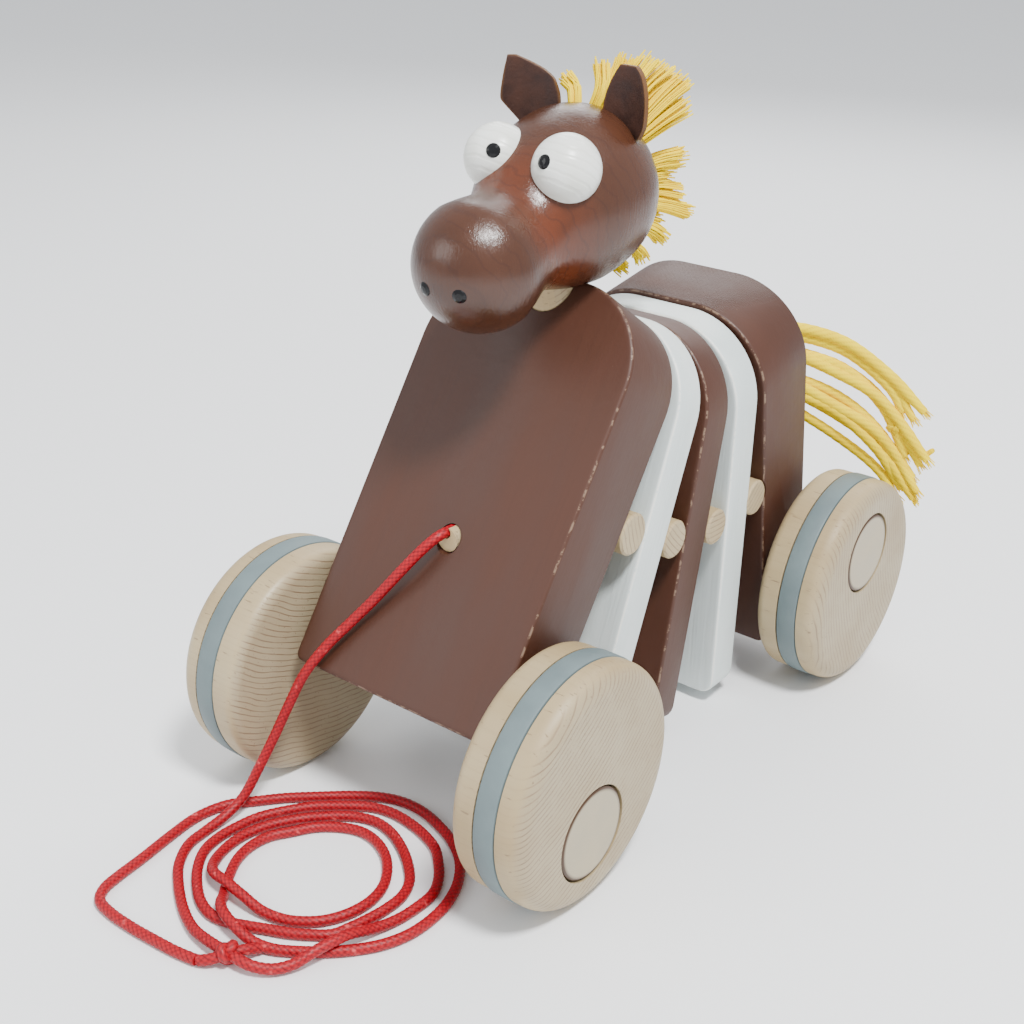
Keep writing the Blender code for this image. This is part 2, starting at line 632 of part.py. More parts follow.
def domed_pin(name, seat, out):
    """A nail with a domed black head; its shank goes into the wood behind the seat."""
    radius, height = PUPIL_HEAD
    shank_radius, shank_length = PIN_SHANK
    profile = [(-shank_length, shank_radius), (0.0, shank_radius), (0.0, radius)]
    for i in range(1, 4):
        angle = math.radians(90.0 * i / 3)
        profile.append((height * math.sin(angle), radius * math.cos(angle) if i < 3 else 0.0))
    return turned(name, profile, seat, out, black_gloss(), 16, 50.0)


def pin_into(target, name, surface_point, out):
    """Put a pin on a rounded surface: its hole and a small flat seat are cut with clearance."""
    radius, _ = PUPIL_HEAD
    shank_radius, shank_length = PIN_SHANK
    seat = surface_point - out * PIN_SEAT_DEPTH
    hole(target, shank_radius + GAP, seat - out * (shank_length + GAP), seat + out * 3.0, 12)
    hole(target, radius + GAP, seat - out * GAP, seat + out * 4.0, 16)
    return domed_pin(name, seat, out)


def make_eyes(head):
    made = []
    for side, place in EYE_CENTRES.items():
        centre = Vector(place)
        eye = turned("eye_" + side, [(d - EYE_RADIUS, r) for d, r in ball_profile(EYE_RADIUS, 12)],
                     centre, (0.0, -1.0, 0.2), white_paint(), 22, 60.0)
        hollow = turned("cutter_socket_" + side, [(d - EYE_RADIUS - GAP, r) for d, r in
                                                  ball_profile(EYE_RADIUS + GAP, 12)],
                        centre, (0.0, -1.0, 0.2), None, 22)
        cut(head, hollow)
        out = Vector(PUPIL_DIRECTIONS[side]).normalized()
        pupil = pin_into(eye, "pupil_" + side, centre + out * EYE_RADIUS, out)
        made += [eye, pupil]
    muzzle = Vector((0.0, *MUZZLE))
    for side, direction in NOSTRIL_DIRECTIONS.items():
        out = Vector(direction).normalized()
        made.append(pin_into(head, "nostril_" + side, muzzle + out * MUZZLE_RADIUS, out))
    return made


def make_ears(head):
    made = []
    for side, sign in (("left", 1.0), ("right", -1.0)):
        made.append(ear_flap("ear_" + side, side, sign, brown_leather()))
        cut(head, ear_flap("cutter_ear_" + side, side, sign, None))
    return made


def ear_flap(name, side_name, sign, surface):
    root, thickness = Vector(EAR_ROOTS[side_name]), EAR_THICKNESS
    turn = math.radians(EAR_TURN)
    facing = Vector((-sign * math.sin(turn), -math.cos(turn), 0.0))
    outward = Vector((sign * math.cos(turn), -math.sin(turn), 0.0))
    up = Vector((0.0, 0.0, 1.0))
    grow = GAP if surface is None else 0.0
    rings = []
    for height, inner, outer in EAR_STATIONS[side_name]:
        if height < 0.0:
            height -= grow
        ring = []
        for side, shares in ((0.5, range(5)), (-0.5, range(4, -1, -1))):
            for share in shares:
                place = inner - grow + (outer - inner + 2.0 * grow) * share / 4.0
                depth = EAR_CUP * place ** 2 + (thickness + 2.0 * grow) * side
                ring.append(root + outward * place + up * height + facing * depth)
        rings.append(ring)
    return skin_rings(rings, surface, name, 30.0)


# ---- cord wedge, pull cord and knot --------------------------------------------------------------------------
def make_wedge():
    """A sliver of dowel driven into the chest hole beside the cord, which it locks."""
    chest_hole, pegs, _ = cord_stations()
    into = (pegs[0] - chest_hole).normalized()
    start = chest_hole - into * 0.6
    wedge = rod("cord_wedge", HOLE_RADIUS - GAP, start, start + into * WEDGE_LENGTH, beech(), 20)
    side, lift = across(into)
    cord_line = chest_hole + side * CORD_OFFSET[0] - lift * CORD_OFFSET[1]
    hole(wedge, CORD_RADIUS + GAP, cord_line - into * 6.0, cord_line + into * (WEDGE_LENGTH + 6.0), 16)
    return wedge


def smooth_route(points, count):
    """Points at even spacing on a Catmull-Rom curve through the route."""
    fine = []
    route = [Vector(p) for p in points]
    padded = [route[0] * 2.0 - route[1], *route, route[-1] * 2.0 - route[-2]]
    for p0, p1, p2, p3 in zip(padded, padded[1:], padded[2:], padded[3:]):
        for i in range(12):
            t = i / 12.0
            fine.append(0.5 * (2.0 * p1 + (p2 - p0) * t + (2.0 * p0 - 5.0 * p1 + 4.0 * p2 - p3) * t ** 2
                               + (3.0 * p1 - p0 - 3.0 * p2 + p3) * t ** 3))
    fine.append(route[-1])
    lengths = [0.0]
    for a, b in zip(fine, fine[1:]):
        lengths.append(lengths[-1] + (b - a).length)
    even = []
    segment = 0
    for i in range(count):
        target = lengths[-1] * i / (count - 1)
        while segment < len(fine) - 2 and lengths[segment + 1] < target:
            segment += 1
        share = (target - lengths[segment]) / (lengths[segment + 1] - lengths[segment])
        even.append(fine[segment].lerp(fine[segment + 1], min(share, 1.0)))
    return even


def make_pull_cord():
    curve = bpy.data.curves.new("pull_cord", "CURVE")
    curve.dimensions = "3D"
    curve.bevel_depth = CORD_RADIUS * MM
    curve.bevel_resolution = 2
    curve.use_fill_caps = True
    spline = curve.splines.new("POLY")
    chest_hole, pegs, _ = cord_stations()
    into = (pegs[0] - chest_hole).normalized()
    side, lift = across(into)
    mouth = chest_hole + side * CORD_OFFSET[0] - lift * CORD_OFFSET[1]
    inside = mouth + into * (WEDGE_LENGTH + 2.5)
    lead = [inside, mouth, *[Vector(p) for p in CORD_LEAD]]
    points = lead + smooth_route(CORD_ROUTE, CORD_POINTS)
    spline.points.add(len(points) - 1)
    for target, point in zip(spline.points, points):
        target.co = (*(point * MM), 1.0)
    curve.materials.append(red_cord())
    cord = bpy.data.objects.new("pull_cord", curve)
    bpy.context.scene.collection.objects.link(cord)
    return cord


def make_knot():
    """The knot is a thick ring round the cord near its free end."""
    along = Vector((1.0, 0.02, 0.0)).normalized()
    start = Vector(KNOT_CENTRE) - along * KNOT_HALF_LENGTH
    length = 2.0 * KNOT_HALF_LENGTH
    profile = [(0.0, KNOT_RADIUS - 0.8), (0.9, KNOT_RADIUS), (length - 0.9, KNOT_RADIUS), (length, KNOT_RADIUS - 0.8)]
    knot = turned("end_knot", profile, start, along, red_cord(), 16)
    hole(knot, CORD_RADIUS + 2.0 * GAP, start - along * 3.0, start + along * (length + 3.0), 16)
    return knot


# ---- tail ----------------------------------------------------------------------------------------------------
def make_tail(boards):
    mouth = board_point("rump_board", TAIL_HOLE_UP, BOARDS["rump_board"][3])
    deep = mouth - Vector((0.0, TAIL_HOLE_DEPTH, 0.0))
    hole(boards["rump_board"], TAIL_HOLE_RADIUS, deep, mouth + Vector((0.0, 5.0, 0.0)), 20)
    sections = [(tuple(deep + Vector((0.0, GAP, 0.0))), 4.2, 4.2), *TAIL_SECTIONS]
    rings = []
    centres = [Vector(s[0]) for s in sections]
    for i, (_, half_height, half_thickness) in enumerate(sections):
        before = centres[max(i - 1, 0)]
        after = centres[min(i + 1, len(centres) - 1)]
        along = (after - before).normalized()
        lift = (Vector((0.0, 0.0, 1.0)) - along * along.z).normalized()
        side = along.cross(lift)
        ring = []
        for k in range(16):
            angle = 2.0 * math.pi * k / 16
            ring.append(centres[i] + lift * half_height * math.sin(angle) + side * half_thickness * math.cos(angle))
        rings.append(ring)
    return skin_rings(rings, yellow_yarn(), "tail", 60.0)


# ---- the horse -------------------------------------------------------------------------------------------------
def clear_scene():
    for old in list(bpy.data.objects):
        bpy.data.objects.remove(old, do_unlink=True)


def build():
    clear_scene()
    boards = make_boards()
    drill_cord_bores(boards)
    pegs = make_pegs()
    inner_cord = make_inner_cord()
    front_axle = make_wheelset("front", FRONT_WHEEL_Y, FRONT_PLUG_PHASE)
    rear_axle = make_wheelset("rear", REAR_WHEEL_Y, REAR_PLUG_PHASE)
    bore_axles(boards, front_axle, rear_axle)
    make_neck(boards)
    head = make_head()
    make_eyes(head)
    make_ears(head)
    make_mane()
    make_wedge()
    tail = make_tail(boards)
    make_pull_cord()
    make_knot()
    pivots = [add_pivot(f"rocker_pivot_{i + 1}", peg_centre(i)) for i in range(4)]
    riders = (
        (boards["front_slat"], pegs[1], inner_cord[1]),
        (boards["middle_slat"], pegs[2], inner_cord[2]),
        (boards["rear_slat"], pegs[3], inner_cord[3]),
        (boards["rump_board"], inner_cord[4], inner_cord[5], tail),
    )
    for pivot, pieces in zip(pivots, riders):
        for piece in pieces:
            hang(piece, pivot)


build()
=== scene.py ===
"""The looks of the wooden pull-along horse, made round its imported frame.

Same frame as the model: the horse faces -Y, its left side is +X, +Z is up and the floor is z = 0.  Sizes
and places are in millimetres and degrees, and every mesh is made in metres.
"""
import math
import random

import bmesh
import bpy
import numpy as np
from mathutils import Matrix, Vector


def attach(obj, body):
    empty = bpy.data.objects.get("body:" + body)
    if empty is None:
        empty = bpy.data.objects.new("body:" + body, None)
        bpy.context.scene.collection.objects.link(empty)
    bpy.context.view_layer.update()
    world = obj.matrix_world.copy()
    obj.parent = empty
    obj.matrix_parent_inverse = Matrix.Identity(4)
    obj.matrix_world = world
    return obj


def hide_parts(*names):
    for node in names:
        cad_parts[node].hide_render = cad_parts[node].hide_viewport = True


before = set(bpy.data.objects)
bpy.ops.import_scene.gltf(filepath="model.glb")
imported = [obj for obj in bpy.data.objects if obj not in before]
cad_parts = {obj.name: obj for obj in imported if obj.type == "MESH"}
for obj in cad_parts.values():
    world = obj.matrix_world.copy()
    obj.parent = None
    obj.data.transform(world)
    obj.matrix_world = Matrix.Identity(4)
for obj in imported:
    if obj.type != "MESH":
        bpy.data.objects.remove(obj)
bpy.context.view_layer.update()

MM = 0.001
GAP = 0.3

# ---- camera, lights and floor ----------------
CAMERA_PLACE = (203.62, -302.91, 225.87)
CAMERA_LOOK = (-0.55101, 0.72127, -0.41971)
CAMERA_ROLL = 1.74
CAMERA_LENS = 52.25

# ---- the boards: tilt back, front bottom edge (y, z), height, thickness, bottom corner radius ----
BOARD_HALF_WIDTH = 30.6
TOP_CORNER_RADIUS = 22.0
EDGE_RADIUS = 0.9
BOARDS = {
    "chest_board": (33.4, (-83.1, 38.1), 108.7, 22.5, 2.0),
    "front_slat": (21.1, (-42.5, 16.7), 107.2, 11.0, 4.5),
    "middle_slat": (10.4, (-12.7, 7.5), 106.8, 11.0, 4.5),
    "rear_slat": (-0.6, (19.0, 3.3), 107.4, 11.0, 4.5),
    "rump_board": (-9.9, (47.1, 8.4), 104.9, 23.0, 2.0),
}
BOARD_BODIES = dict(zip(BOARDS, ("chest", "front_slat_body", "middle_slat_body", "rear_slat_body", "rump")))
PEG_RADII = (5.4, 5.1, 4.9, 5.0)
PEG_HEIGHTS = (71.0, 62.4, 58.5, 60.1)
HOLE_UP_CHEST = 40.8
HOLE_RADIUS = 3.3
SLAT_BORE = 1.9
KNOT_POCKET = (6.0, 9.0)
AXLE_BORE = 3.35

# ---- wheels ----------------------------------
WHEEL_RADIUS = 29.8
TYRE_RADIUS = 30.1
WHEEL_WIDTH = 19.3
TRACK_HALF = 53.4
OUTER_ROUND = 4.5
INNER_ROUND = 3.0
BAND_FROM_FACE = 6.3
BAND_WIDTH = 6.2
BAND_DEPTH = 1.4
RINGS_PER_METRE = 680.0
RING_CENTRE_AWAY = 90.0
WHEELSETS = {
    # end: centre y, phase of the plug, direction of the growth rings' centre on the left and right wheels
    "front": (-71.0, -99.5, (123.0, 75.0)),
    "rear": (62.4, 97.9, (20.0, 140.0)),
}
ECCENTRICITY = 10.5
PLUG_TO_AXLE = 170.0
PLUG_RADIUS = 11.4
PLUG_RING = 0.5
PLUG_LENGTH = 7.0
AXLE_RADIUS = 3.0
AXLE_SEAT = 10.0

# ---- head ------------------------------------
MUZZLE = (-50.9, 136.7)
SKULL = (-17.0, 147.4)
MUZZLE_RADIUS = 15.5
SKULL_RADIUS = 20.6
SKULL_FRONT_LENGTH = 26.0
SKULL_FRONT_POWER = 2.4
BLEND_POWER = 4.0
NECK_RADIUS = 7.0
NECK_STATION = 23.8
NECK_IN_CHEST = 19.3
NECK_IN_HEAD = 12.3
EYE_RADIUS = 8.0
EYE_CENTRES = {"left": (10.3, -33.7, 156.8), "right": (-9.1, -33.7, 156.6)}
EAR_STATIONS = {
    "left": ((-2.5, -2.6, 2.6), (0.4, -6.4, 5.0), (2.0, -8.1, 5.4), (4.6, -8.0, 5.5), (7.0, -7.5, 5.2),
             (9.6, -6.6, 4.1), (11.8, -5.5, 2.6), (13.4, -4.4, 0.2)),
    "right": ((-2.5, -3.4, 4.6), (0.2, -4.6, 7.0), (2.7, -5.4, 9.1), (5.0, -5.0, 9.0), (8.3, -3.4, 8.6),
              (10.2, -0.4, 8.3), (11.6, 3.0, 8.0), (12.9, 6.2, 7.8)),
}
EAR_THICKNESS = 1.5
EAR_ROOTS = {"left": (13.4, -12.5, 163.8), "right": (-13.4, -12.5, 163.8)}
EAR_TURN = 17.0
EAR_CUP = 0.035

# ---- tail ------------------------------------
TAIL_HOLE_RADIUS = 4.8
TAIL_HOLE_UP = 75.8
TAIL_HOLE_DEPTH = 14.0
TAIL_KNOT = (41.5, 96.8, 65.6)

# ---- pull cord: through the wedge, round the lip of its hole, then the free route ----
CORD_RADIUS = 1.25
CORD_OFFSET = (-0.6, 1.7)
CORD_INSIDE = 14.5
CORD_LEAD = ((-0.7, -62.4, 73.8), (-1.5, -64.6, 72.8), (-3.4, -67.6, 69.9))
# (x, y, z), or only (x, y) where the cord lies on the floor
CORD_LIES_AT = 1.3
CORD_ROUTE = (
    # down the chest's face and over its bottom edge
    (-6.8, -71.3, 64.4), (-11.4, -74.4, 57.5), (-16.0, -78.0, 51.0), (-20.3, -82.1, 44.6),
    (-24.0, -86.0, 37.3), (-27.0, -88.4, 29.0), (-29.4, -91.3, 20.5), (-31.0, -95.5, 12.5),
    (-32.2, -100.3, 5.4), (-32.9, -106.0, 2.3), (-33.0, -112.5),
    # along the outside of the coil to the knot
    (-32.0, -118.5), (-28.0, -124.8), (-22.0, -130.0), (-15.0, -134.6), (-8.0, -137.8, 1.8),
    (-1.5, -139.1, 2.7), (5.0, -139.3, 3.2), (10.6, -138.6, 2.6), (14.8, -135.8, 1.8),
    # first turn, over the last one on its way out
    (17.6, -131.8, 2.1), (19.4, -127.5, 3.6), (20.7, -123.0, 4.1), (21.5, -118.5, 3.7), (22.9, -112.5, 2.0),
    (24.3, -106.5), (25.0, -100.5), (24.7, -94.5), (22.2, -89.5), (18.6, -85.3), (14.0, -81.3), (8.5, -79.0),
    (3.0, -77.8), (-3.0, -77.5), (-8.7, -79.0), (-14.2, -83.0), (-19.8, -88.0), (-24.0, -93.8),
    (-27.2, -100.0), (-28.4, -106.0),
    # second turn
    (-28.7, -111.5), (-27.6, -117.0), (-24.4, -122.0), (-19.6, -126.6), (-14.2, -130.2), (-9.0, -131.8),
    (-4.2, -131.2), (0.2, -129.3), (4.4, -127.2), (9.0, -125.0), (13.2, -122.2), (16.6, -119.2),
    (18.0, -115.4), (19.2, -110.5), (20.0, -105.0), (19.8, -99.5), (17.6, -94.5), (13.4, -90.2), (8.0, -86.4),
    (2.0, -83.6), (-4.0, -82.8), (-9.6, -84.8), (-14.8, -89.2), (-19.2, -94.3), (-22.4, -99.7),
    # third turn, over the fourth
    (-24.3, -105.0), (-24.7, -110.5), (-23.7, -115.8), (-21.0, -120.5, 2.2), (-17.0, -123.4, 3.6),
    (-12.0, -124.2, 4.1), (-6.6, -124.4, 3.3), (-0.6, -124.0, 1.7), (5.2, -122.4), (9.8, -119.4),
    (12.8, -115.8), (14.8, -111.0), (15.4, -105.5), (14.2, -100.0), (11.2, -95.2), (7.0, -91.2), (1.8, -88.6),
    (-3.8, -88.0), (-9.0, -90.0), (-13.6, -93.8), (-16.8, -98.8), (-19.6, -103.7), (-20.3, -109.0),
    # fourth turn, over the second
    (-19.2, -114.2), (-16.8, -118.7), (-14.0, -122.6), (-11.2, -126.0, 1.8), (-8.2, -129.4, 3.4),
    (-4.4, -131.8, 4.1), (0.8, -132.9, 3.4), (5.6, -132.6, 2.1), (10.4, -130.8, 1.4), (15.2, -127.6),
    (19.6, -124.0), (23.8, -119.6), (27.4, -114.4), (29.6, -108.5), (30.2, -102.0), (29.4, -95.0),
    (26.6, -87.7), (21.7, -81.2), (15.4, -76.6), (8.6, -73.8), (2.0, -72.2), (-4.5, -72.4), (-10.5, -74.8),
    (-16.2, -79.0), (-22.3, -84.6), (-28.2, -90.4), (-33.0, -96.3),
    # out to the left, round a tight bend and back to the knot
    (-36.6, -100.9), (-38.4, -106.0), (-38.9, -111.5), (-38.0, -119.1), (-36.4, -129.0), (-35.4, -136.8),
    (-34.3, -141.6), (-31.6, -144.8), (-26.4, -145.9), (-19.6, -146.0), (-13.2, -145.6), (-5.8, -144.9),
    (0.0, -143.9, 1.4),
)
KNOT_CENTRE = (5.0, -139.3, 3.2)
KNOT_TAIL = (
    (0.4, -143.8, 1.5), (2.8, -142.4, 2.2), (5.0, -139.4, 3.0), (6.8, -135.8, 2.6), (8.0, -132.4, 1.6),
)
BRAID_STEP = 0.3
STITCH = 1.45
BRAID_SIDES = 28
BRAID_RISE, BRAID_SINK = 0.15, 0.09
YARN_SIDES = 24
YARN_RISE, YARN_SINK = 0.2, 0.12
YARN_LAY = 3.2
MANE_FIBRES, TAIL_FIBRES = 56, 18


# ---- small helpers ---------------------------
def across(direction):
    """Two unit vectors square to a direction, the first one as near to +X as it can be."""
    along = Vector(direction).normalized()
    side = Vector((1.0, 0.0, 0.0))
    if abs(along.x) > 0.9:
        side = Vector((0.0, 1.0, 0.0))
    first = (side - along * side.dot(along)).normalized()
    return first, along.cross(first)


def spoke(angle_deg):
    """A direction square to X; 0 degrees is +Y and 90 is +Z."""
    angle = math.radians(angle_deg)
    return Vector((0.0, math.cos(angle), math.sin(angle)))


def arc(centre, radius, start_deg, end_deg, steps):
    points = []
    for i in range(steps + 1):
        angle = math.radians(start_deg + (end_deg - start_deg) * i / steps)
        points.append((centre[0] + radius * math.cos(angle), centre[1] + radius * math.sin(angle)))
    return points


def smooth_route(points, step):
    """Points at an even spacing (mm) on a Catmull-Rom curve through the route."""
    route = [Vector(p) for p in points]
    padded = [route[0] * 2.0 - route[1], *route, route[-1] * 2.0 - route[-2]]
    fine = []
    for p0, p1, p2, p3 in zip(padded, padded[1:], padded[2:], padded[3:]):
        for i in range(24):
            t = i / 24.0
            fine.append(0.5 * (2.0 * p1 + (p2 - p0) * t + (2.0 * p0 - 5.0 * p1 + 4.0 * p2 - p3) * t ** 2
                               + (3.0 * p1 - p0 - 3.0 * p2 + p3) * t ** 3))
    fine.append(route[-1])
    fine = np.array(fine)
    lengths = np.concatenate([[0.0], np.cumsum(np.linalg.norm(np.diff(fine, axis=0), axis=1))])
    even = np.linspace(0.0, lengths[-1], max(int(lengths[-1] / step), 2))
    return np.stack([np.interp(even, lengths, fine[:, k]) for k in range(3)], axis=1)


def tube_frames(path):
    """Two side vectors carried along a path without twisting."""
    tangents = np.gradient(path, axis=0)
    tangents /= np.linalg.norm(tangents, axis=1)[:, None]
    first = np.array(across(tangents[0])[0])
    sides = []
    for tangent in tangents:
        first = first - tangent * first.dot(tangent)
        first = first / np.linalg.norm(first)
        sides.append(first)
    sides = np.array(sides)
    return sides, np.cross(tangents, sides)


def stacked_faces(rings, segments):
    """Faces of a closed body whose vertices come ring by ring."""
    faces = []
    for low in range(0, (rings - 1) * segments, segments):
        for k in range(segments):
            after = (k + 1) % segments
            faces.append((low + k, low + after, low + segments + after, low + segments + k))
    faces.append(tuple(range(segments))[::-1])
    faces.append(tuple(range((rings - 1) * segments, rings * segments)))
    return faces


def tube_mesh(path, radii, segments, relief=None):
    """Vertices and faces of a capped tube, and what relief(distance, angle) adds to its radius."""
    path = np.asarray(path, dtype=float)
    side, lift = tube_frames(path)
    radii = np.broadcast_to(np.asarray(radii, dtype=float), (len(path),))
    along = np.concatenate([[0.0], np.cumsum(np.linalg.norm(np.diff(path, axis=0), axis=1))])
    angle = 2.0 * math.pi * np.arange(segments) / segments
    bumps = relief(along[:, None], angle[None, :]) if relief else 0.0
    reach = radii[:, None] + bumps
    ring = (side[:, None, :] * np.cos(angle)[None, :, None] + lift[:, None, :] * np.sin(angle)[None, :, None])
    verts = (path[:, None, :] + ring * reach[:, :, None]).reshape(-1, 3)
    return verts, stacked_faces(len(path), segments), bumps


def joined(parts):
    """One list of vertices and faces from several bodies."""
    verts, faces, offset = [], [], 0
    for part_verts, part_faces in parts:
        verts.append(np.asarray(part_verts))
        faces += [tuple(i + offset for i in face) for face in part_faces]
        offset += len(part_verts)
    return np.concatenate(verts), faces


def new_object(name, verts, faces, surface, sharp_angle=40.0):
    mesh = bpy.data.meshes.new(name)
    mesh.from_pydata((np.asarray(verts) * MM).tolist(), [], faces)
    bm = bmesh.new()
    bm.from_mesh(mesh)
    bmesh.ops.recalc_face_normals(bm, faces=bm.faces)
    bm.to_mesh(mesh)
    bm.free()
    mesh.shade_smooth()
    mesh.set_sharp_from_angle(angle=math.radians(sharp_angle))
    if surface:
        mesh.materials.append(surface)
    made = bpy.data.objects.new(name, mesh)
    bpy.context.scene.collection.objects.link(made)
    return made


def rings_mesh(rings):
    """Vertices and faces of a closed stack of equal rings."""
    return [p for ring in rings for p in ring], stacked_faces(len(rings), len(rings[0]))


def lathe_mesh(profile, start, direction, segments):
    """A turned body: profile is (distance along the axis, radius); a zero radius closes it to a point."""
    along = Vector(direction).normalized()
    first, second = across(along)
    verts, faces, loops = [], [], []
    for distance, radius in profile:
        centre = Vector(start) + along * distance
        if radius < 1e-6:
            loops.append([len(verts)] * segments)
            verts.append(centre)
            continue
        loop = []
        for i in range(segments):
            angle = 2.0 * math.pi * i / segments
            loop.append(len(verts))
            verts.append(centre + (first * math.cos(angle) + second * math.sin(angle)) * radius)
        loops.append(loop)
    for low, high in zip(loops, loops[1:]):
        for i in range(segments):
            j = (i + 1) % segments
            faces.append(tuple(dict.fromkeys((low[i], low[j], high[j], high[i]))))
    for loop in (loops[0][::-1], loops[-1]):
        if len(set(loop)) > 1:
            faces.append(tuple(loop))
    return verts, faces


def lathe(name, profile, start, direction, surface, segments=96, sharp_angle=40.0):
    return new_object(name, *lathe_mesh(profile, start, direction, segments), surface, sharp_angle)


def rod_cutter(radius, start, end, segments=48):
    along = Vector(end) - Vector(start)
    return lathe("cutter", [(0.0, radius), (along.length, radius)], start, along, None, segments)


def carve(target, cutters, sharp_angle=35.0):
    """Cut bodies out of a piece for good, and throw the cutters away."""
    for cutter in cutters:
        boolean = target.modifiers.new("cut", "BOOLEAN")
        boolean.object = cutter
        boolean.solver = "EXACT"
    bpy.context.view_layer.update()
    graph = bpy.context.evaluated_depsgraph_get()
    carved = bpy.data.meshes.new_from_object(target.evaluated_get(graph))
    target.modifiers.clear()
    carved.set_sharp_from_angle(angle=math.radians(sharp_angle))
    old, target.data = target.data, carved
    bpy.data.meshes.remove(old)
    for cutter in cutters:
        bpy.data.objects.remove(cutter, do_unlink=True)


def settle(made, body, slot_name, *replaced):
    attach(made, body)
    if replaced:
        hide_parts(*replaced)
    return made


# ---- materials: node helpers -----------------
class Look:
    """One Principled material and short ways to add nodes to it."""

    def __init__(self, name, roughness, specular=0.5):
        self.material = bpy.data.materials.new(name)
        self.material.use_nodes = True
        self.tree = self.material.node_tree
        self.shader = self.tree.nodes["Principled BSDF"]
        self.shader.inputs["Roughness"].default_value = roughness
        self.shader.inputs["Specular IOR Level"].default_value = specular

    def node(self, kind, inputs, output=0, **settings):
        made = self.tree.nodes.new(kind)
        for key, value in settings.items():
            setattr(made, key, value)
        for key, value in inputs.items():
            socket = made.inputs[key]
            if isinstance(value, bpy.types.NodeSocket):
                self.tree.links.new(value, socket)
            else:
                socket.default_value = value
        return made.outputs[output]

    def place(self):
        return self.node("ShaderNodeTexCoord", {}, "Object")

    def attribute(self, name):
        return self.node("ShaderNodeAttribute", {}, "Fac", attribute_name=name)

    def turned_place(self, turn_x=0.0, scale=(1.0, 1.0, 1.0)):
        turn = (math.radians(turn_x), 0, 0)
        turned = self.node("ShaderNodeMapping", {"Vector": self.place(), "Rotation": turn})
        return self.node("ShaderNodeMapping", {"Vector": turned, "Scale": scale})

    def noise(self, vector, scale, detail, roughness):
        return self.node("ShaderNodeTexNoise", {"Vector": vector, "Scale": scale, "Detail": detail,
                                                "Roughness": roughness}, "Fac")

    def spots(self, scale, detail=3.0, roughness=0.5):
        return self.noise(self.place(), scale, detail, roughness)

    def streaks(self, turn_x, scale, detail=3.0, roughness=0.5):
        return self.noise(self.turned_place(turn_x, scale), 1.0, detail, roughness)

    def wave(self, turn_x, scale, distortion, detail_scale):
        inputs = {"Vector": self.turned_place(turn_x), "Scale": scale, "Distortion": distortion,
                  "Detail": 3.0, "Detail Scale": detail_scale}
        return self.node("ShaderNodeTexWave", inputs, "Fac", bands_direction="Z")

    def ramp(self, value, low=0.3, high=0.7, out_low=0.0, out_high=1.0):
        return self.node("ShaderNodeMapRange", {"Value": value, "From Min": low, "From Max": high,
                                                "To Min": out_low, "To Max": out_high})

    def math(self, operation, a, b=0.0):
        return self.node("ShaderNodeMath", {0: a, 1: b}, operation=operation)

    def mix(self, factor, a, b):
        made = self.tree.nodes.new("ShaderNodeMix")
        made.data_type = "RGBA"
        for key, value in ((0, factor), (6, a), (7, b)):
            if isinstance(value, bpy.types.NodeSocket):
                self.tree.links.new(value, made.inputs[key])
            else:
                made.inputs[key].default_value = value if key == 0 else (*value, 1.0)
        return made.outputs[2]

    def bump(self, height, distance_mm, below=None):
        inputs = {"Height": height, "Distance": distance_mm * MM}
        if below:
            inputs["Normal"] = below
        return self.node("ShaderNodeBump", inputs)

    def finish(self, colour=None, normal=None, roughness=None):
        for key, value in (("Base Color", colour), ("Normal", normal), ("Roughness", roughness)):
            if value:
                self.tree.links.new(value, self.shader.inputs[key])
        return self.material


# ---- materials -------------------------------
PAINTS = {
    # colour, shade, colour of the specks and of the painted edge highlight, roughness, how much of the edges
    # gets the painted highlight, grain in mm
    "brown_paint": ((0.060, 0.0172, 0.0066), (0.047, 0.0138, 0.0055), (0.20, 0.125, 0.08), 0.5, 0.5, 0.012),
    "white_paint": ((0.74, 0.79, 0.77), (0.60, 0.67, 0.66), (0.84, 0.85, 0.80), 0.42, 0.62, 0.05),
}
WEAVE_FADES_IN = (0.1105, 0.1125)


def paint(name, turn_x, colour, shade, speck_and_edge_highlight, roughness, edge_highlight_share, grain, weave):
    """Brushed paint on wood: fine grain, patchy gloss, a painted highlight along the edges and a cloth weave
    on the rump's top.
    """
    look = Look(name, roughness)
    streaks = look.streaks(turn_x, (1300.0, 1300.0, 40.0), 3.0, 0.5)
    broad = look.streaks(turn_x, (60.0, 60.0, 20.0), 3.0)
    body = look.mix(look.ramp(broad), shade, colour)
    body = look.mix(look.ramp(streaks, 0.5, 0.75, 0.0, 0.3), body, shade)
    specks = look.streaks(turn_x, (420.0, 420.0, 210.0), 3.0, 0.6)
    body = look.mix(look.ramp(specks, 0.74, 0.8, 0.0, 0.5), body, speck_and_edge_highlight)
    # a pale band along the rounded edges, broken into dashes by noise: a painted highlight
    edge = look.attribute("edge")
    highlight_breaks = look.spots(420.0, 4.0, 0.7)
    edge_highlight = look.math("MULTIPLY", look.ramp(edge, 0.35, 0.6), look.ramp(highlight_breaks, 1.0 - edge_highlight_share, 1.06 - edge_highlight_share))
    body = look.mix(edge_highlight, body, speck_and_edge_highlight)
    normal = look.bump(look.ramp(streaks, 0.35, 0.7), grain)
    normal = look.bump(look.spots(260.0, 2.0), 0.08, normal)
    if weave:
        spot = look.node("ShaderNodeSeparateXYZ", {"Vector": look.place()}, "Z")
        top = look.ramp(spot, *WEAVE_FADES_IN)
        cloth = {"Vector": look.place(), "Scale": 330.0, "Mortar Size": 0.035, "Mortar Smooth": 0.6}
        crossed = look.node("ShaderNodeTexBrick", cloth, "Fac")
        rough_weave = look.math("MULTIPLY", look.spots(380.0, 3.0), crossed)
        normal = look.bump(look.math("MULTIPLY", rough_weave, top), 0.5, normal)
    sheen = look.ramp(broad, 0.3, 0.7, roughness - 0.05, roughness + 0.07)
    return look.finish(body, normal, sheen)


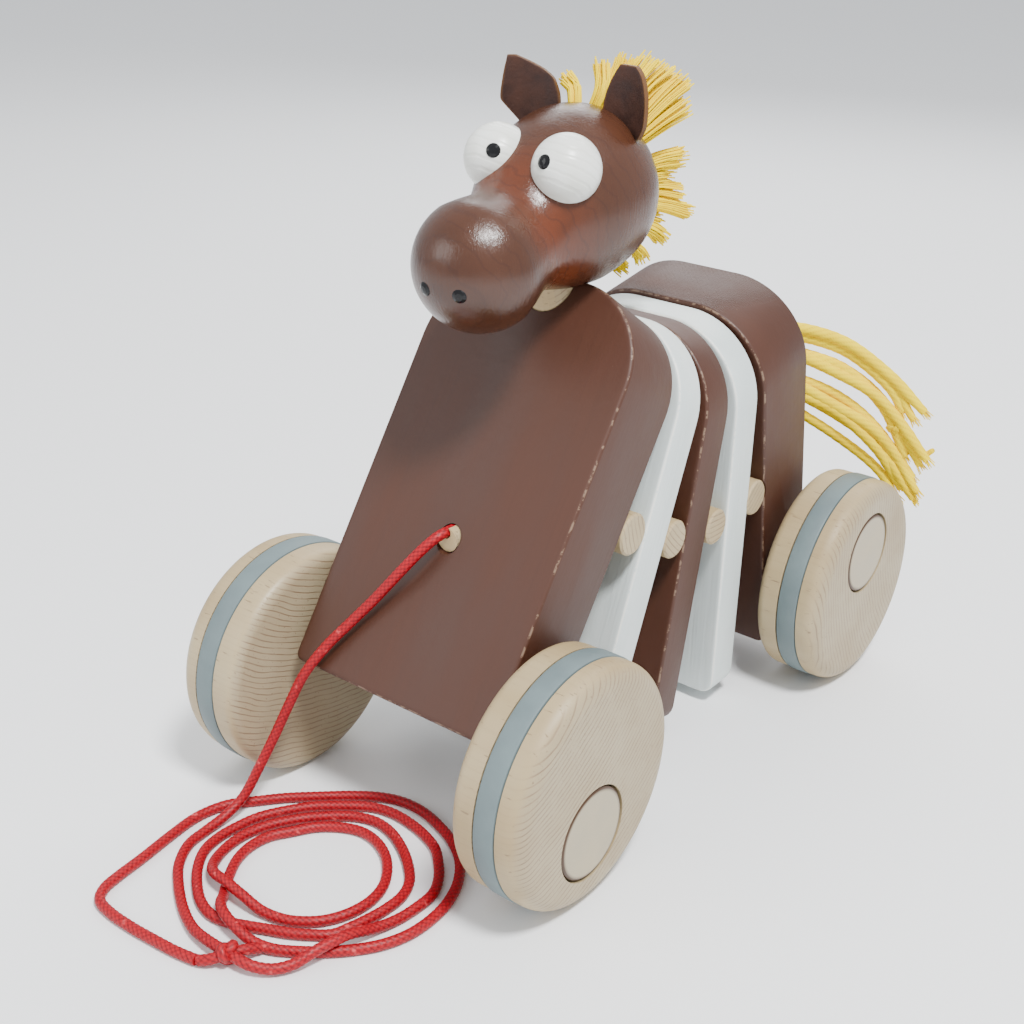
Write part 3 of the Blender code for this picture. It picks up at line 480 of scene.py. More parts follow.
def head_paint():
    """The turned head: rings of the wood show through the paint, and the throat of the muzzle is redder."""
    look = Look("head_paint", 0.3)
    muzzle, along, _ = head_axis()
    station = look.node("ShaderNodeVectorMath", {0: look.place(), 1: tuple(along)}, "Value",
                        operation="DOT_PRODUCT")
    mm_along = look.math("MULTIPLY", look.math("SUBTRACT", station, (muzzle * MM).dot(along)), 1000.0)
    soft = look.spots(70.0, 3.0)
    waist = look.math("MULTIPLY", look.ramp(mm_along, 2.0, 11.0), look.ramp(mm_along, 24.0, 15.0))
    broad = look.mix(look.ramp(soft), (0.050, 0.0175, 0.0085), (0.068, 0.024, 0.0115))
    tint = look.math("MULTIPLY", waist, look.ramp(soft, 0.25, 0.75, 0.3, 0.9))
    body = look.mix(tint, broad, (0.13, 0.026, 0.006))
    rings = look.wave(68.0, 95.0, 6.0, 1.5)
    fibres = look.streaks(0.0, (1800.0, 1800.0, 110.0), 4.0, 0.6)
    body = look.mix(look.ramp(rings, 0.86, 1.0, 0.0, 0.3), body, (0.035, 0.012, 0.008))
    body = look.mix(look.ramp(fibres, 0.66, 0.8, 0.0, 0.2), body, (0.20, 0.10, 0.06))
    normal = look.bump(look.ramp(fibres, 0.4, 0.75), 0.035)
    normal = look.bump(look.spots(190.0, 2.0), 0.1, normal)
    return look.finish(body, normal, look.ramp(soft, 0.3, 0.7, 0.2, 0.3))


def eye_paint():
    look = Look("eye_paint", 0.28)
    rings = look.wave(35.0, 150.0, 3.0, 1.0)
    soft = look.spots(160.0, 3.0)
    body = look.mix(look.ramp(soft, 0.3, 0.75), (0.86, 0.87, 0.83), (0.74, 0.75, 0.68))
    body = look.mix(look.ramp(rings, 0.8, 1.0, 0.0, 0.25), body, (0.60, 0.60, 0.53))
    normal = look.bump(look.ramp(rings, 0.6, 1.0, 1.0, 0.0), 0.05)
    return look.finish(body, normal, look.ramp(soft, 0.3, 0.7, 0.22, 0.36))


def beech(name, ring_centre, lines=1.0, tone=(0.40, 0.32, 0.185)):
    """Beech with its fibres along X: rings on faces square to X, dark flecks along X on the sides."""
    look = Look(name, 0.46)
    spot = look.node("ShaderNodeVectorMath", {0: look.place(), 1: tuple(Vector(ring_centre) * MM)}, 0,
                     operation="SUBTRACT")
    flat = look.node("ShaderNodeMapping", {"Vector": spot, "Scale": (0.0, 1.0, 1.0)})
    radius = look.node("ShaderNodeVectorMath", {0: flat}, "Value", operation="LENGTH")
    wander = look.streaks(0.0, (12.0, 60.0, 60.0), 2.0)
    ring = look.math("MULTIPLY", radius, RINGS_PER_METRE)
    ring = look.math("ADD", ring, look.math("MULTIPLY", wander, 2.0))
    phase = look.math("FRACT", ring)
    line = look.ramp(look.math("PINGPONG", phase, 0.5), 0.16, 0.0)
    broken = look.ramp(look.spots(240.0, 3.0), 0.3, 0.55, 0.35, 1.0)
    normal = look.node("ShaderNodeTexCoord", {}, "Normal")
    normal_x = look.node("ShaderNodeSeparateXYZ", {"Vector": normal}, "X")
    face = look.ramp(look.math("ABSOLUTE", normal_x), 0.5, 0.85)
    line = look.math("MULTIPLY", line, look.math("MULTIPLY", broken, look.ramp(face, 0.0, 1.0, 0.12, lines)))
    flecks = look.ramp(look.streaks(0.0, (170.0, 1500.0, 1500.0), 2.0, 0.5), 0.66, 0.72)
    soft = look.streaks(0.0, (20.0, 55.0, 55.0), 3.0)
    light = tuple(channel * 1.14 for channel in tone)
    deep = (tone[0] * 0.88, tone[1] * 0.80, tone[2] * 0.68)
    body = look.mix(look.ramp(soft, 0.3, 0.72), light, deep)
    body = look.mix(look.math("MULTIPLY", face, 0.55), body, (tone[0] * 0.86, tone[1] * 0.9, tone[2] * 1.05))
    body = look.mix(look.ramp(phase, 0.0, 1.0, 0.0, 0.14 * lines), body, (0.42, 0.30, 0.17))
    body = look.mix(line, body, (0.21, 0.135, 0.075))
    body = look.mix(look.math("MULTIPLY", flecks, 0.62), body, (0.20, 0.13, 0.07))
    flecks = look.math("MULTIPLY", flecks, look.ramp(face, 0.0, 1.0, 1.0, 0.45))
    dents = look.math("MAXIMUM", line, flecks)
    normal = look.bump(look.ramp(dents, 0.0, 1.0, 1.0, 0.0), 0.07)
    return look.finish(body, normal, look.ramp(soft, 0.3, 0.7, 0.4, 0.54))


def plug_look():
    """Smooth sanded disc with a scorched rim."""
    look = Look("plug_beech", 0.42)
    edge = look.attribute("edge")
    soft = look.spots(90.0, 3.0)
    fine = look.streaks(0.0, (200.0, 2200.0, 2200.0), 3.0)
    body = look.mix(look.ramp(soft), (0.37, 0.315, 0.21), (0.43, 0.36, 0.235))
    body = look.mix(look.ramp(fine, 0.6, 0.75, 0.0, 0.35), body, (0.34, 0.26, 0.17))
    body = look.mix(look.ramp(edge, 0.2, 0.8), body, (0.055, 0.022, 0.006))
    return look.finish(body, look.bump(fine, 0.03), look.ramp(soft, 0.3, 0.7, 0.36, 0.5))


def pocket_brown():
    look = Look("scorched_wood", 0.7)
    soft = look.spots(300.0, 3.0)
    return look.finish(look.mix(soft, (0.05, 0.025, 0.01), (0.16, 0.075, 0.02)), look.bump(soft, 0.1))


def rubber():
    look = Look("grey_rubber", 0.55, 0.35)
    soft = look.spots(120.0, 3.0)
    fine = look.spots(2600.0, 2.0)
    body = look.mix(look.ramp(soft), (0.125, 0.165, 0.172), (0.15, 0.195, 0.20))
    return look.finish(body, look.bump(fine, 0.02), look.ramp(soft, 0.3, 0.7, 0.48, 0.62))


def red_braid(name, flat=None):
    """Braided cord: the relief is in the mesh; here are the fibres, painted shade in the hollows between the
    strands and pale flecks that are painted highlights.
    """
    look = Look(name, 0.5, 0.35)
    height = look.attribute("height")
    if flat:
        height = look.math("ADD", height, flat)
    fine = look.spots(2600.0, 2.0)
    soft = look.spots(420.0, 3.0)
    # darker where the braid's relief is low: painted shade in the hollows between the strands
    body = look.mix(look.ramp(height, 0.05, 0.8), (0.10, 0.0, 0.002), (0.42, 0.0, 0.008))
    # pale pink flecks: painted highlights on the braid
    body = look.mix(look.ramp(soft, 0.66, 0.74, 0.0, 0.6), body, (0.80, 0.10, 0.10))
    body = look.mix(look.ramp(fine, 0.4, 0.7, 0.0, 0.25), body, (0.26, 0.0, 0.012))
    return look.finish(body, look.bump(fine, 0.06), look.ramp(soft, 0.3, 0.7, 0.42, 0.6))


def yellow_yarn(name):
    look = Look(name, 0.8, 0.05)
    height = look.attribute("height")
    soft = look.spots(160.0, 3.0)
    fine = look.spots(3200.0, 3.0)
    body = look.mix(look.ramp(soft), (0.90, 0.63, 0.0), (0.97, 0.74, 0.0))
    # darker where the height is low, in the hollows between the plies and towards a fibre's root: painted
    # shade
    body = look.mix(look.ramp(height, 0.75, 0.0, 0.0, 0.6), body, (0.58, 0.34, 0.0))
    body = look.mix(look.ramp(fine, 0.45, 0.7, 0.0, 0.25), body, (1.0, 0.80, 0.01))
    return look.finish(body, look.bump(fine, 0.08))


def leather():
    look = Look("ear_leather", 0.62, 0.35)
    edge = look.attribute("edge")
    pores = look.spots(1300.0, 4.0, 0.7)
    soft = look.spots(230.0, 3.0)
    body = look.mix(look.ramp(soft), (0.026, 0.009, 0.006), (0.052, 0.018, 0.010))
    body = look.mix(look.ramp(edge, 0.4, 1.0, 0.0, 0.8), body, (0.13, 0.055, 0.014))
    normal = look.bump(pores, 0.12)
    return look.finish(body, look.bump(soft, 0.2, normal), look.ramp(soft, 0.3, 0.7, 0.5, 0.7))


def black_gloss():
    look = Look("black_gloss", 0.12, 0.25)
    soft = look.spots(400.0, 2.0)
    body = look.mix(soft, (0.004, 0.004, 0.005), (0.012, 0.012, 0.013))
    return look.finish(body, None, look.ramp(soft, 0.3, 0.7, 0.08, 0.2))


def mark(made, name, values):
    """Give a piece's vertices the numbers that its material reads."""
    attribute = made.data.attributes.new(name, "FLOAT", "POINT")
    attribute.data.foreach_set("value", np.asarray(values, dtype=np.float32))


# ---- places shared with the model ------------
def board_vectors(name):
    tilt, (y, z), height, thickness, _ = BOARDS[name]
    angle = math.radians(tilt)
    up = Vector((0.0, math.sin(angle), math.cos(angle)))
    back = Vector((0.0, math.cos(angle), -math.sin(angle)))
    return Vector((0.0, y, z)), up, back, height, thickness


def board_point(name, up_board, into_board, x=0.0):
    origin, up, back, _, _ = board_vectors(name)
    return origin + up * up_board + back * into_board + Vector((x, 0.0, 0.0))


def board_outline(height, bottom_radius, grow):
    half = BOARD_HALF_WIDTH + grow
    top = height + grow
    corner = TOP_CORNER_RADIUS + grow
    low = bottom_radius
    points = arc((half - low, low - grow), low, -90, 0, 5)
    points += arc((half - corner, top - corner), corner, 0, 90, 20)
    points += arc((-half + corner, top - corner), corner, 90, 180, 20)
    points += arc((-half + low, low - grow), low, 180, 270, 5)
    return points


def peg_centre(index):
    names = list(BOARDS)
    origin_a, _, back_a, _, thickness_a = board_vectors(names[index])
    origin_b, _, back_b, _, _ = board_vectors(names[index + 1])
    plane_a = back_a.dot(origin_a) + thickness_a
    plane_b = back_b.dot(origin_b)
    z = PEG_HEIGHTS[index]
    y = (plane_a + plane_b - z * (back_a.z + back_b.z)) / (back_a.y + back_b.y)
    return Vector((0.0, y, z))


def cord_stations():
    chest_hole = board_point("chest_board", HOLE_UP_CHEST, 0.0)
    pegs = [peg_centre(i) for i in range(4)]
    origin, _, back, _, thickness = board_vectors("rump_board")
    reach = (back.dot(origin) + thickness - back.dot(pegs[3])) / back.y
    return chest_hole, pegs, pegs[3] + Vector((0.0, reach, 0.0))


def around(centre_y, phase):
    """A place off a wheelset's centre, on the circle of its axle and plugs."""
    angle = math.radians(phase)
    z = TYRE_RADIUS + ECCENTRICITY * math.sin(angle)
    return Vector((0.0, centre_y + ECCENTRICITY * math.cos(angle), z))


def axle_centre(end):
    centre_y, phase, _ = WHEELSETS[end]
    return around(centre_y, phase + PLUG_TO_AXLE)


def head_axis():
    muzzle = Vector((0.0, *MUZZLE))
    skull = Vector((0.0, *SKULL))
    return muzzle, (skull - muzzle).normalized(), (skull - muzzle).length


def head_profile(steps=56):
    """Radius against distance from the muzzle's centre: the muzzle ball blended into the blunt skull."""
    _, _, skull_station = head_axis()
    start, end = -MUZZLE_RADIUS, skull_station + SKULL_RADIUS
    points = []
    for i in range(steps + 1):
        station = start + (end - start) * (0.5 - 0.5 * math.cos(math.pi * i / steps))
        muzzle = math.sqrt(max(MUZZLE_RADIUS ** 2 - station ** 2, 0.0))
        ahead = skull_station - station
        if ahead > 0.0:
            rest = max(1.0 - (ahead / SKULL_FRONT_LENGTH) ** SKULL_FRONT_POWER, 0.0)
            skull = SKULL_RADIUS * rest ** (1.0 / SKULL_FRONT_POWER)
        else:
            skull = math.sqrt(max(SKULL_RADIUS ** 2 - ahead ** 2, 0.0))
        radius = (muzzle ** BLEND_POWER + skull ** BLEND_POWER) ** (1.0 / BLEND_POWER)
        points.append((station, 0.0 if i in (0, steps) else radius))
    for _ in range(8):  # ease the crease where the muzzle meets the skull
        points = [b if not 1.0 < b[0] < 27.0 else (b[0], (a[1] + 2.0 * b[1] + c[1]) / 4.0)
                  for a, b, c in zip([points[0], *points], points, [*points[1:], points[-1]])]
    return points


def neck_line():
    muzzle, along, _ = head_axis()
    down = Vector((0.0, along.z, -along.y))
    station = muzzle + along * NECK_STATION
    origin, _, back, _, _ = board_vectors("chest_board")
    return station + down * ((back.dot(origin) - back.dot(station)) / back.dot(down)), down


# ---- camera, lights and floor ----------------
def make_camera():
    camera = bpy.data.objects.new("camera", bpy.data.cameras.new("camera"))
    bpy.context.scene.collection.objects.link(camera)
    turn = Vector(CAMERA_LOOK).to_track_quat("-Z", "Y").to_matrix()
    turn = turn @ Matrix.Rotation(math.radians(CAMERA_ROLL), 3, "Z")
    camera.matrix_world = Matrix.Translation(Vector(CAMERA_PLACE) * MM) @ turn.to_4x4()
    camera.data.lens = CAMERA_LENS
    camera.data.sensor_width = 36.0
    camera.data.clip_start = 0.01
    camera.data.clip_end = 20.0
    bpy.context.scene.camera = camera


def area_light(name, place, target, size, power):
    lamp = bpy.data.lights.new(name, "AREA")
    lamp.shape = "RECTANGLE"
    lamp.size, lamp.size_y = size
    lamp.energy = power
    made = bpy.data.objects.new(name, lamp)
    made.location = place
    made.rotation_euler = (Vector(target) - Vector(place)).to_track_quat("-Z", "Y").to_euler()
    bpy.context.scene.collection.objects.link(made)


def make_studio():
    world = bpy.data.worlds.new("studio")
    world.use_nodes = True
    background = world.node_tree.nodes["Background"]
    background.inputs["Color"].default_value = (0.95, 0.97, 1.0, 1.0)
    background.inputs["Strength"].default_value = 0.95
    bpy.context.scene.world = world
    area_light("overhead", (0.42, -0.24, 0.96), (0.0, -0.02, 0.1), (0.2, 0.16), 17.0)
    area_light("front_left", (-0.45, -0.8, 0.5), (0.0, -0.03, 0.1), (0.5, 0.4), 2.2)
    area_light("behind", (-0.3, 0.7, 0.6), (0.0, 0.0, 0.08), (0.7, 0.5), 5.0)
    look = Look("pale_floor", 0.6, 0.2)
    soft = look.spots(2.0, 2.0)
    look.finish(look.mix(soft, (0.90, 0.91, 0.92), (0.93, 0.94, 0.95)))
    verts = [(-2500, -2500, 0), (2500, -2500, 0), (2500, 2500, 0), (-2500, 2500, 0)]
    new_object("floor", verts, [(0, 1, 2, 3)], look.material)


# ---- cord ------------------------------------
def braid_relief(distance, angle):
    """Stitches of six strands each way, over and under in turn."""
    one = np.sin(math.pi * (6.0 * angle / (2.0 * math.pi) + distance / STITCH))
    other = np.sin(math.pi * (6.0 * angle / (2.0 * math.pi) - distance / STITCH))
    a, b = np.abs(one), np.abs(other)
    over = one * other > 0.0
    return BRAID_RISE * np.where(over, a ** 0.8 * b ** 0.35, b ** 0.8 * a ** 0.35) - BRAID_SINK


def trefoil(centre, along, scale):
    """The closed line of an overhand knot round an axis."""
    side, lift = across(along)
    axis = Vector(along).normalized()
    line = []
    for i in range(73):
        t = 2.0 * math.pi * i / 72
        across_line = side * (math.sin(t) + 2.0 * math.sin(2.0 * t))
        across_line += lift * (math.cos(t) - 2.0 * math.cos(2.0 * t))
        line.append(Vector(centre) + (across_line - axis * 1.1 * math.sin(3.0 * t)) * scale)
    return line


def cord_piece(name, lines, surface):
    """Braided tubes along lines of points: (points, radius) each."""
    parts, heights = [], []
    for line, radius in lines:
        path = smooth_route(line, BRAID_STEP)
        verts, faces, bumps = tube_mesh(path, radius, BRAID_SIDES, braid_relief)
        # the relief's height, which the braid's material turns into painted shade in the hollows
        heights.append(((bumps + BRAID_SINK) / BRAID_RISE).ravel())
        parts.append((verts, faces))
    made = new_object(name, *joined(parts), surface, 80.0)
    mark(made, "height", np.concatenate(heights))
    return made


def make_cord():
    chest_hole, pegs, rump_back = cord_stations()
    into = (pegs[0] - chest_hole).normalized()
    side, lift = across(into)
    mouth = chest_hole + side * CORD_OFFSET[0] - lift * CORD_OFFSET[1]
    free = [Vector(p) if len(p) == 3 else Vector((*p, CORD_LIES_AT)) for p in (*CORD_LEAD, *CORD_ROUTE)]
    route = [mouth + into * CORD_INSIDE, mouth, *free]
    path = smooth_route(route, BRAID_STEP)
    red = red_braid("red_braid")
    cord = cord_piece("pull_cord_braid", [(route, CORD_RADIUS)], red)
    settle(cord, "chest", "red_cord", "pull_cord")
    tied = trefoil(KNOT_CENTRE, (1.0, 0.02, 0.0), 0.62)
    knot = cord_piece("end_knot_braid", [(tied, 1.2), (KNOT_TAIL, CORD_RADIUS)], red)
    settle(knot, "chest", "red_cord", "end_knot")
    tied = trefoil(rump_back - Vector((0.0, 1.0, 0.0)), (0.0, 1.0, 0.0), 0.68)
    settle(cord_piece("stop_knot_braid", [(tied, 1.5)], red), "rump", "red_cord", "stop_knot")


# ---- boards ----------------------------------
def board_body(name, grow=0.0, rounded=True):
    _, _, height, thickness, bottom_radius = BOARDS[name]
    levels = [(-grow, grow)]
    if rounded:
        levels = [(0.0, -EDGE_RADIUS - 0.6)]
        for angle in (90.0, 67.5, 45.0, 22.5, 0.0):
            turn = math.radians(angle)
            levels.append((EDGE_RADIUS * (1.0 - math.sin(turn)), -EDGE_RADIUS * (1.0 - math.cos(turn))))
    levels += [(thickness - depth, out) for depth, out in reversed(levels)]
    rings = []
    for depth, out in levels:
        rings.append([board_point(name, up, depth, x) for x, up in board_outline(height, bottom_radius, out)])
    return rings_mesh(rings)


def outline_distance(x, up, height, bottom_radius):
    """How far inside its board's outline a point is."""
    x = abs(x)
    top_corner = (TOP_CORNER_RADIUS, up - height + TOP_CORNER_RADIUS)
    for corner, beyond in (top_corner, (bottom_radius, bottom_radius - up)):
        aside = x - BOARD_HALF_WIDTH + corner
        if aside > 0.0 and beyond > 0.0:
            return corner - math.hypot(aside, beyond)
    return min(BOARD_HALF_WIDTH - x, height - up, up)


def mark_board_edges(made, name):
    origin, up, back, height, thickness = board_vectors(name)
    values = []
    for vertex in made.data.vertices:
        place = vertex.co / MM - origin
        depth = place.dot(back)
        inside = outline_distance(place.x, place.dot(up), height, BOARDS[name][4])
        near = max(min(depth, thickness - depth), inside)
        values.append(min(max(1.0 - near / EDGE_RADIUS, 0.0), 1.0))
    mark(made, "edge", values)


def board_cutters():
    chest_hole, pegs, rump_back = cord_stations()
    names = list(BOARDS)
    cutters = {name: [] for name in names}
    reach = Vector((BOARD_HALF_WIDTH + 5.0, 0.0, 0.0))
    for index, radius in enumerate(PEG_RADII):
        origin, _, back, _, _ = board_vectors(names[index + 1])
        if radius + GAP < back.dot(origin - pegs[index]):
            continue
        for name in names[index:index + 2]:
            cutters[name].append(rod_cutter(radius + GAP, pegs[index] - reach, pegs[index] + reach, 64))
    into = (pegs[0] - chest_hole).normalized()
    cutters["chest_board"].append(rod_cutter(HOLE_RADIUS, chest_hole - into * 8.0, pegs[0] + into * 2.0))
    for name, low, high in zip(names[1:4], pegs, pegs[1:]):
        along = (high - low).normalized()
        cutters[name].append(rod_cutter(SLAT_BORE, low - along * 2.0, high + along * 2.0, 24))
    behind = Vector((0.0, 4.0, 0.0))
    pocket_radius, pocket_depth = KNOT_POCKET
    tail_mouth = board_point("rump_board", TAIL_HOLE_UP, BOARDS["rump_board"][3])
    cutters["rump_board"] += [
        rod_cutter(SLAT_BORE, pegs[3] - behind * 0.5, rump_back + behind, 24),
        rod_cutter(pocket_radius, rump_back - Vector((0.0, pocket_depth, 0.0)), rump_back + behind * 2.0),
        rod_cutter(TAIL_HOLE_RADIUS, tail_mouth - Vector((0.0, TAIL_HOLE_DEPTH, 0.0)), tail_mouth + behind),
    ]
    for name, end in (("chest_board", "front"), ("rump_board", "rear")):
        cutters[name].append(rod_cutter(AXLE_BORE, axle_centre(end) - reach, axle_centre(end) + reach))
    face_point, down = neck_line()
    neck_end = face_point + down * NECK_IN_CHEST
    cutters["chest_board"].append(rod_cutter(NECK_RADIUS + GAP, face_point - down * 20.0, neck_end))
    return cutters


def make_boards():
    cutters = board_cutters()
    for name in BOARDS:
        slot_name = "white_paint" if name in ("front_slat", "rear_slat") else "brown_paint"
        surface = paint(name + "_paint", BOARDS[name][0], *PAINTS[slot_name], name == "rump_board")
        made = new_object(name + "_painted", *board_body(name), surface, 35.0)
        carve(made, cutters[name])
        mark_board_edges(made, name)
        settle(made, BOARD_BODIES[name], slot_name, name)


# ---- wheels ----------------------------------
def wheel_profile():
    """(distance from the outer face, radius), with both arrises rounded and a groove for the band."""
    groove = WHEEL_RADIUS - BAND_DEPTH
    points = [(0.0, 0.0), (0.0, WHEEL_RADIUS - OUTER_ROUND - 1.0)]
    for x, up in arc((0.0, 0.0), OUTER_ROUND, 90, 0, 8):
        points.append((OUTER_ROUND - up, WHEEL_RADIUS - OUTER_ROUND + x))
    band_end = BAND_FROM_FACE + BAND_WIDTH
    points += [(BAND_FROM_FACE, WHEEL_RADIUS), (BAND_FROM_FACE, groove), (band_end, groove),
               (band_end, WHEEL_RADIUS)]
    for x, up in arc((0.0, 0.0), INNER_ROUND, 0, 90, 6):
        points.append((WHEEL_WIDTH - INNER_ROUND + up, WHEEL_RADIUS - INNER_ROUND + x))
    return points + [(WHEEL_WIDTH, WHEEL_RADIUS - INNER_ROUND - 1.0), (WHEEL_WIDTH, 0.0)]


def band_mesh(start, inward):
    """The rubber band: a closed section swept once round the wheel."""
    width = BAND_WIDTH - 2.0 * GAP
    inner = WHEEL_RADIUS - BAND_DEPTH + GAP
    edge = [(0.0, TYRE_RADIUS - 0.55), (0.15, TYRE_RADIUS - 0.2), (0.55, TYRE_RADIUS - 0.03)]
    section = [(0.0, inner), *edge, (width * 0.5, TYRE_RADIUS), *[(width - d, r) for d, r in reversed(edge)],
               (width, inner)]
    first, second = across(inward)
    segments, count = 128, len(section)
    verts, faces = [], []
    for i in range(segments):
        angle = 2.0 * math.pi * i / segments
        out = first * math.cos(angle) + second * math.sin(angle)
        verts += [Vector(start) + Vector(inward) * d + out * r for d, r in section]
        low, high = i * count, (i + 1) % segments * count
        faces += [(low + k, low + (k + 1) % count, high + (k + 1) % count, high + k) for k in range(count)]
    return verts, faces


def make_plug(name, face, inward, surface):
    rim = PLUG_RADIUS
    profile = [(0.0, 0.0), (0.0, rim - 1.5), (0.0, rim - 0.7), (0.12, rim - 0.3), (0.45, rim),
               (PLUG_LENGTH, rim), (PLUG_LENGTH, 0.0)]
    plug = lathe(name, profile, face, inward, surface, 96)
    axis = Vector(inward)
    values = []
    for vertex in plug.data.vertices:
        reach = vertex.co / MM - Vector(face)
        away = (reach - axis * reach.dot(axis)).length
        values.append(min(max((away - rim + 1.2) / 0.9, 0.0), 1.0))
    mark(plug, "edge", values)
    return plug


def make_wheels():
    dark, grey, plug_surface = pocket_brown(), rubber(), plug_look()
    for end, (centre_y, phase, ring_turns) in WHEELSETS.items():
        body = end + "_wheelset"
        plug_centre, axle = around(centre_y, phase), axle_centre(end)
        for side, sign, ring_turn in (("left", 1.0, ring_turns[0]), ("right", -1.0, ring_turns[1])):
            face = Vector((sign * TRACK_HALF, centre_y, TYRE_RADIUS))
            out, inward = Vector((sign, 0.0, 0.0)), Vector((-sign, 0.0, 0.0))
            rings = face + spoke(ring_turn) * RING_CENTRE_AWAY
            wood = beech(f"{end}_{side}_beech", rings)
            wheel = lathe(f"{end}_wheel_{side}_turned", wheel_profile(), face, inward, wood, 128)
            plug_face = plug_centre + out * TRACK_HALF
            pocket = rod_cutter(PLUG_RADIUS + PLUG_RING, plug_face + inward * (PLUG_LENGTH + GAP),
                                plug_face + out * 4.0, 96)
            pocket.data.materials.append(dark)
            inner = TRACK_HALF - WHEEL_WIDTH
            bore = rod_cutter(AXLE_RADIUS + GAP, axle + out * (inner - 3.0), axle + out * (inner + AXLE_SEAT))
            carve(wheel, [pocket, bore])
            settle(wheel, body, "beech", f"{end}_wheel_{side}")
            settle(make_plug(f"{end}_plug_{side}_disc", plug_face, inward, plug_surface), body, "beech",
                   f"{end}_plug_{side}")
            band = band_mesh(face + inward * (BAND_FROM_FACE + GAP), inward)
            settle(new_object(f"{end}_tyre_{side}_band", *band, grey, 35.0), body, "grey_rubber",
                   f"{end}_tyre_{side}")


# ---- head ------------------------------------
def make_head():
    muzzle, along, _ = head_axis()
    head = lathe("head_turned", head_profile(), muzzle, along, head_paint(), 112, 60.0)
    saddle = new_object("saddle", *board_body("chest_board", GAP, False), None)
    face_point, down = neck_line()
    socket = rod_cutter(NECK_RADIUS + GAP, face_point - down * NECK_IN_HEAD, face_point + down * 12.0)
    carve(head, [saddle, socket], 50.0)
    settle(head, "chest", "brown_paint", "head")
    white = eye_paint()
    for side, centre in EYE_CENTRES.items():
        profile = [(-EYE_RADIUS, 0.0)]
        for i in range(1, 40):
            angle = math.pi * i / 40
            swell = 1.0 + 0.05 * max(math.cos(angle), 0.0) ** 3
            profile.append((-EYE_RADIUS * math.cos(angle), EYE_RADIUS * math.sin(angle) / swell))
        profile.append((EYE_RADIUS, 0.0))
        bead = lathe(f"eye_{side}_bead", profile, centre, (0.0, -1.0, 0.2), white, 80, 80.0)
        settle(bead, "chest", "white_paint", "eye_" + side)


def ear_edges_at(stations, height):
    """Inner and outer edge of the ear at a height, eased between its stations."""
    for low, high in zip(stations, stations[1:]):
        if height <= high[0]:
            share = (height - low[0]) / (high[0] - low[0])
            return tuple(low[k] + (high[k] - low[k]) * share for k in (1, 2))
    return stations[-1][1:]


def make_ears():
    """Cupped flaps of cut leather, their rims a little paler."""
    surface = leather()
    turn = math.radians(EAR_TURN)
    rows, columns = 34, 14
    for side, sign in (("left", 1.0), ("right", -1.0)):
        root, stations = Vector(EAR_ROOTS[side]), EAR_STATIONS[side]
        facing = Vector((-sign * math.sin(turn), -math.cos(turn), 0.0))
        outward = Vector((sign * math.cos(turn), -math.sin(turn), 0.0))
        bottom, top = stations[0][0], stations[-1][0]
        edges = [ear_edges_at(stations, bottom + (top - bottom) * i / rows) for i in range(rows + 1)]
        for _ in range(2):
            edges = [edges[0], *[tuple((a[k] + 2.0 * b[k] + c[k]) / 4.0 for k in (0, 1))
                                 for a, b, c in zip(edges, edges[1:], edges[2:])], edges[-1]]
        rings, values = [], []
        for i, (inner, outer) in enumerate(edges):
            height = bottom + (top - bottom) * i / rows
            ring = []
            for half, shares in ((0.5, range(columns + 1)), (-0.5, range(columns, -1, -1))):
                for share in shares:
                    place = inner + (outer - inner) * share / columns
                    rim = min(share, columns - share) == 0 or i == rows
                    depth = EAR_CUP * place ** 2 + EAR_THICKNESS * half * (0.75 if rim else 1.0)
                    ring.append(root + outward * place + Vector((0.0, 0.0, height)) + facing * depth)
                    values.append(1.0 if rim else 0.0)
            rings.append(ring)
        ear = new_object(f"ear_{side}_flap", *rings_mesh(rings), surface, 50.0)
        mark(ear, "edge", values)
        settle(ear, "chest", "brown_leather", "ear_" + side)


# ---- yarn ------------------------------------
def yarn_relief(distance, angle):
    """Six plies twisted together."""
    return YARN_RISE * np.abs(np.sin(3.0 * angle + math.pi * distance / YARN_LAY)) - YARN_SINK


def add_yarn(parts, heights, line, radius):
    path = smooth_route(line, 0.7)
    taper = np.interp(np.linspace(0.0, 1.0, len(path)), (0.0, 0.1, 0.9, 1.0), (0.8, 1.0, 1.0, 0.72)) * radius
    verts, faces, bumps = tube_mesh(path, taper, YARN_SIDES, yarn_relief)
    parts.append((verts, faces))
    # the relief's height, which the yarn's material turns into painted shade between the plies
    heights.append(((bumps + YARN_SINK) / YARN_RISE).ravel())


def add_tuft(rng, parts, heights, root, tip, count, spreads, radius, bow=(0.0, 0.0, 0.0)):
    """A frayed end of yarn: thin fibres that leave together and spread out like a brush."""
    root, tip = Vector(root), Vector(tip)
    along = (tip - root).normalized()
    side, lift = across(along)
    for _ in range(count):
        turn, away = rng.uniform(0.0, 2.0 * math.pi), math.sqrt(rng.random())
        out = (side * math.cos(turn) + lift * math.sin(turn)) * away
        ends = [root + out * spreads[0],
                root.lerp(tip, 0.55) + out * (0.45 * spreads[0] + 0.55 * spreads[1]) + Vector(bow),
                tip + out * spreads[1] + along * rng.uniform(-2.2, 0.5)]
        path = smooth_route(ends, 1.7)
        verts, faces, _ = tube_mesh(path, np.linspace(radius, radius * 0.7, len(path)), 5)
        parts.append((verts, faces))
        # a random tone for each fibre, and a height rising towards its tip that the yarn's material turns
        # into painted shade at the root
        tone = rng.uniform(-0.2, 0.2)
        heights.append(np.repeat(np.clip(np.linspace(0.25, 1.0, len(path)) + tone, 0.0, 1.0), 5))


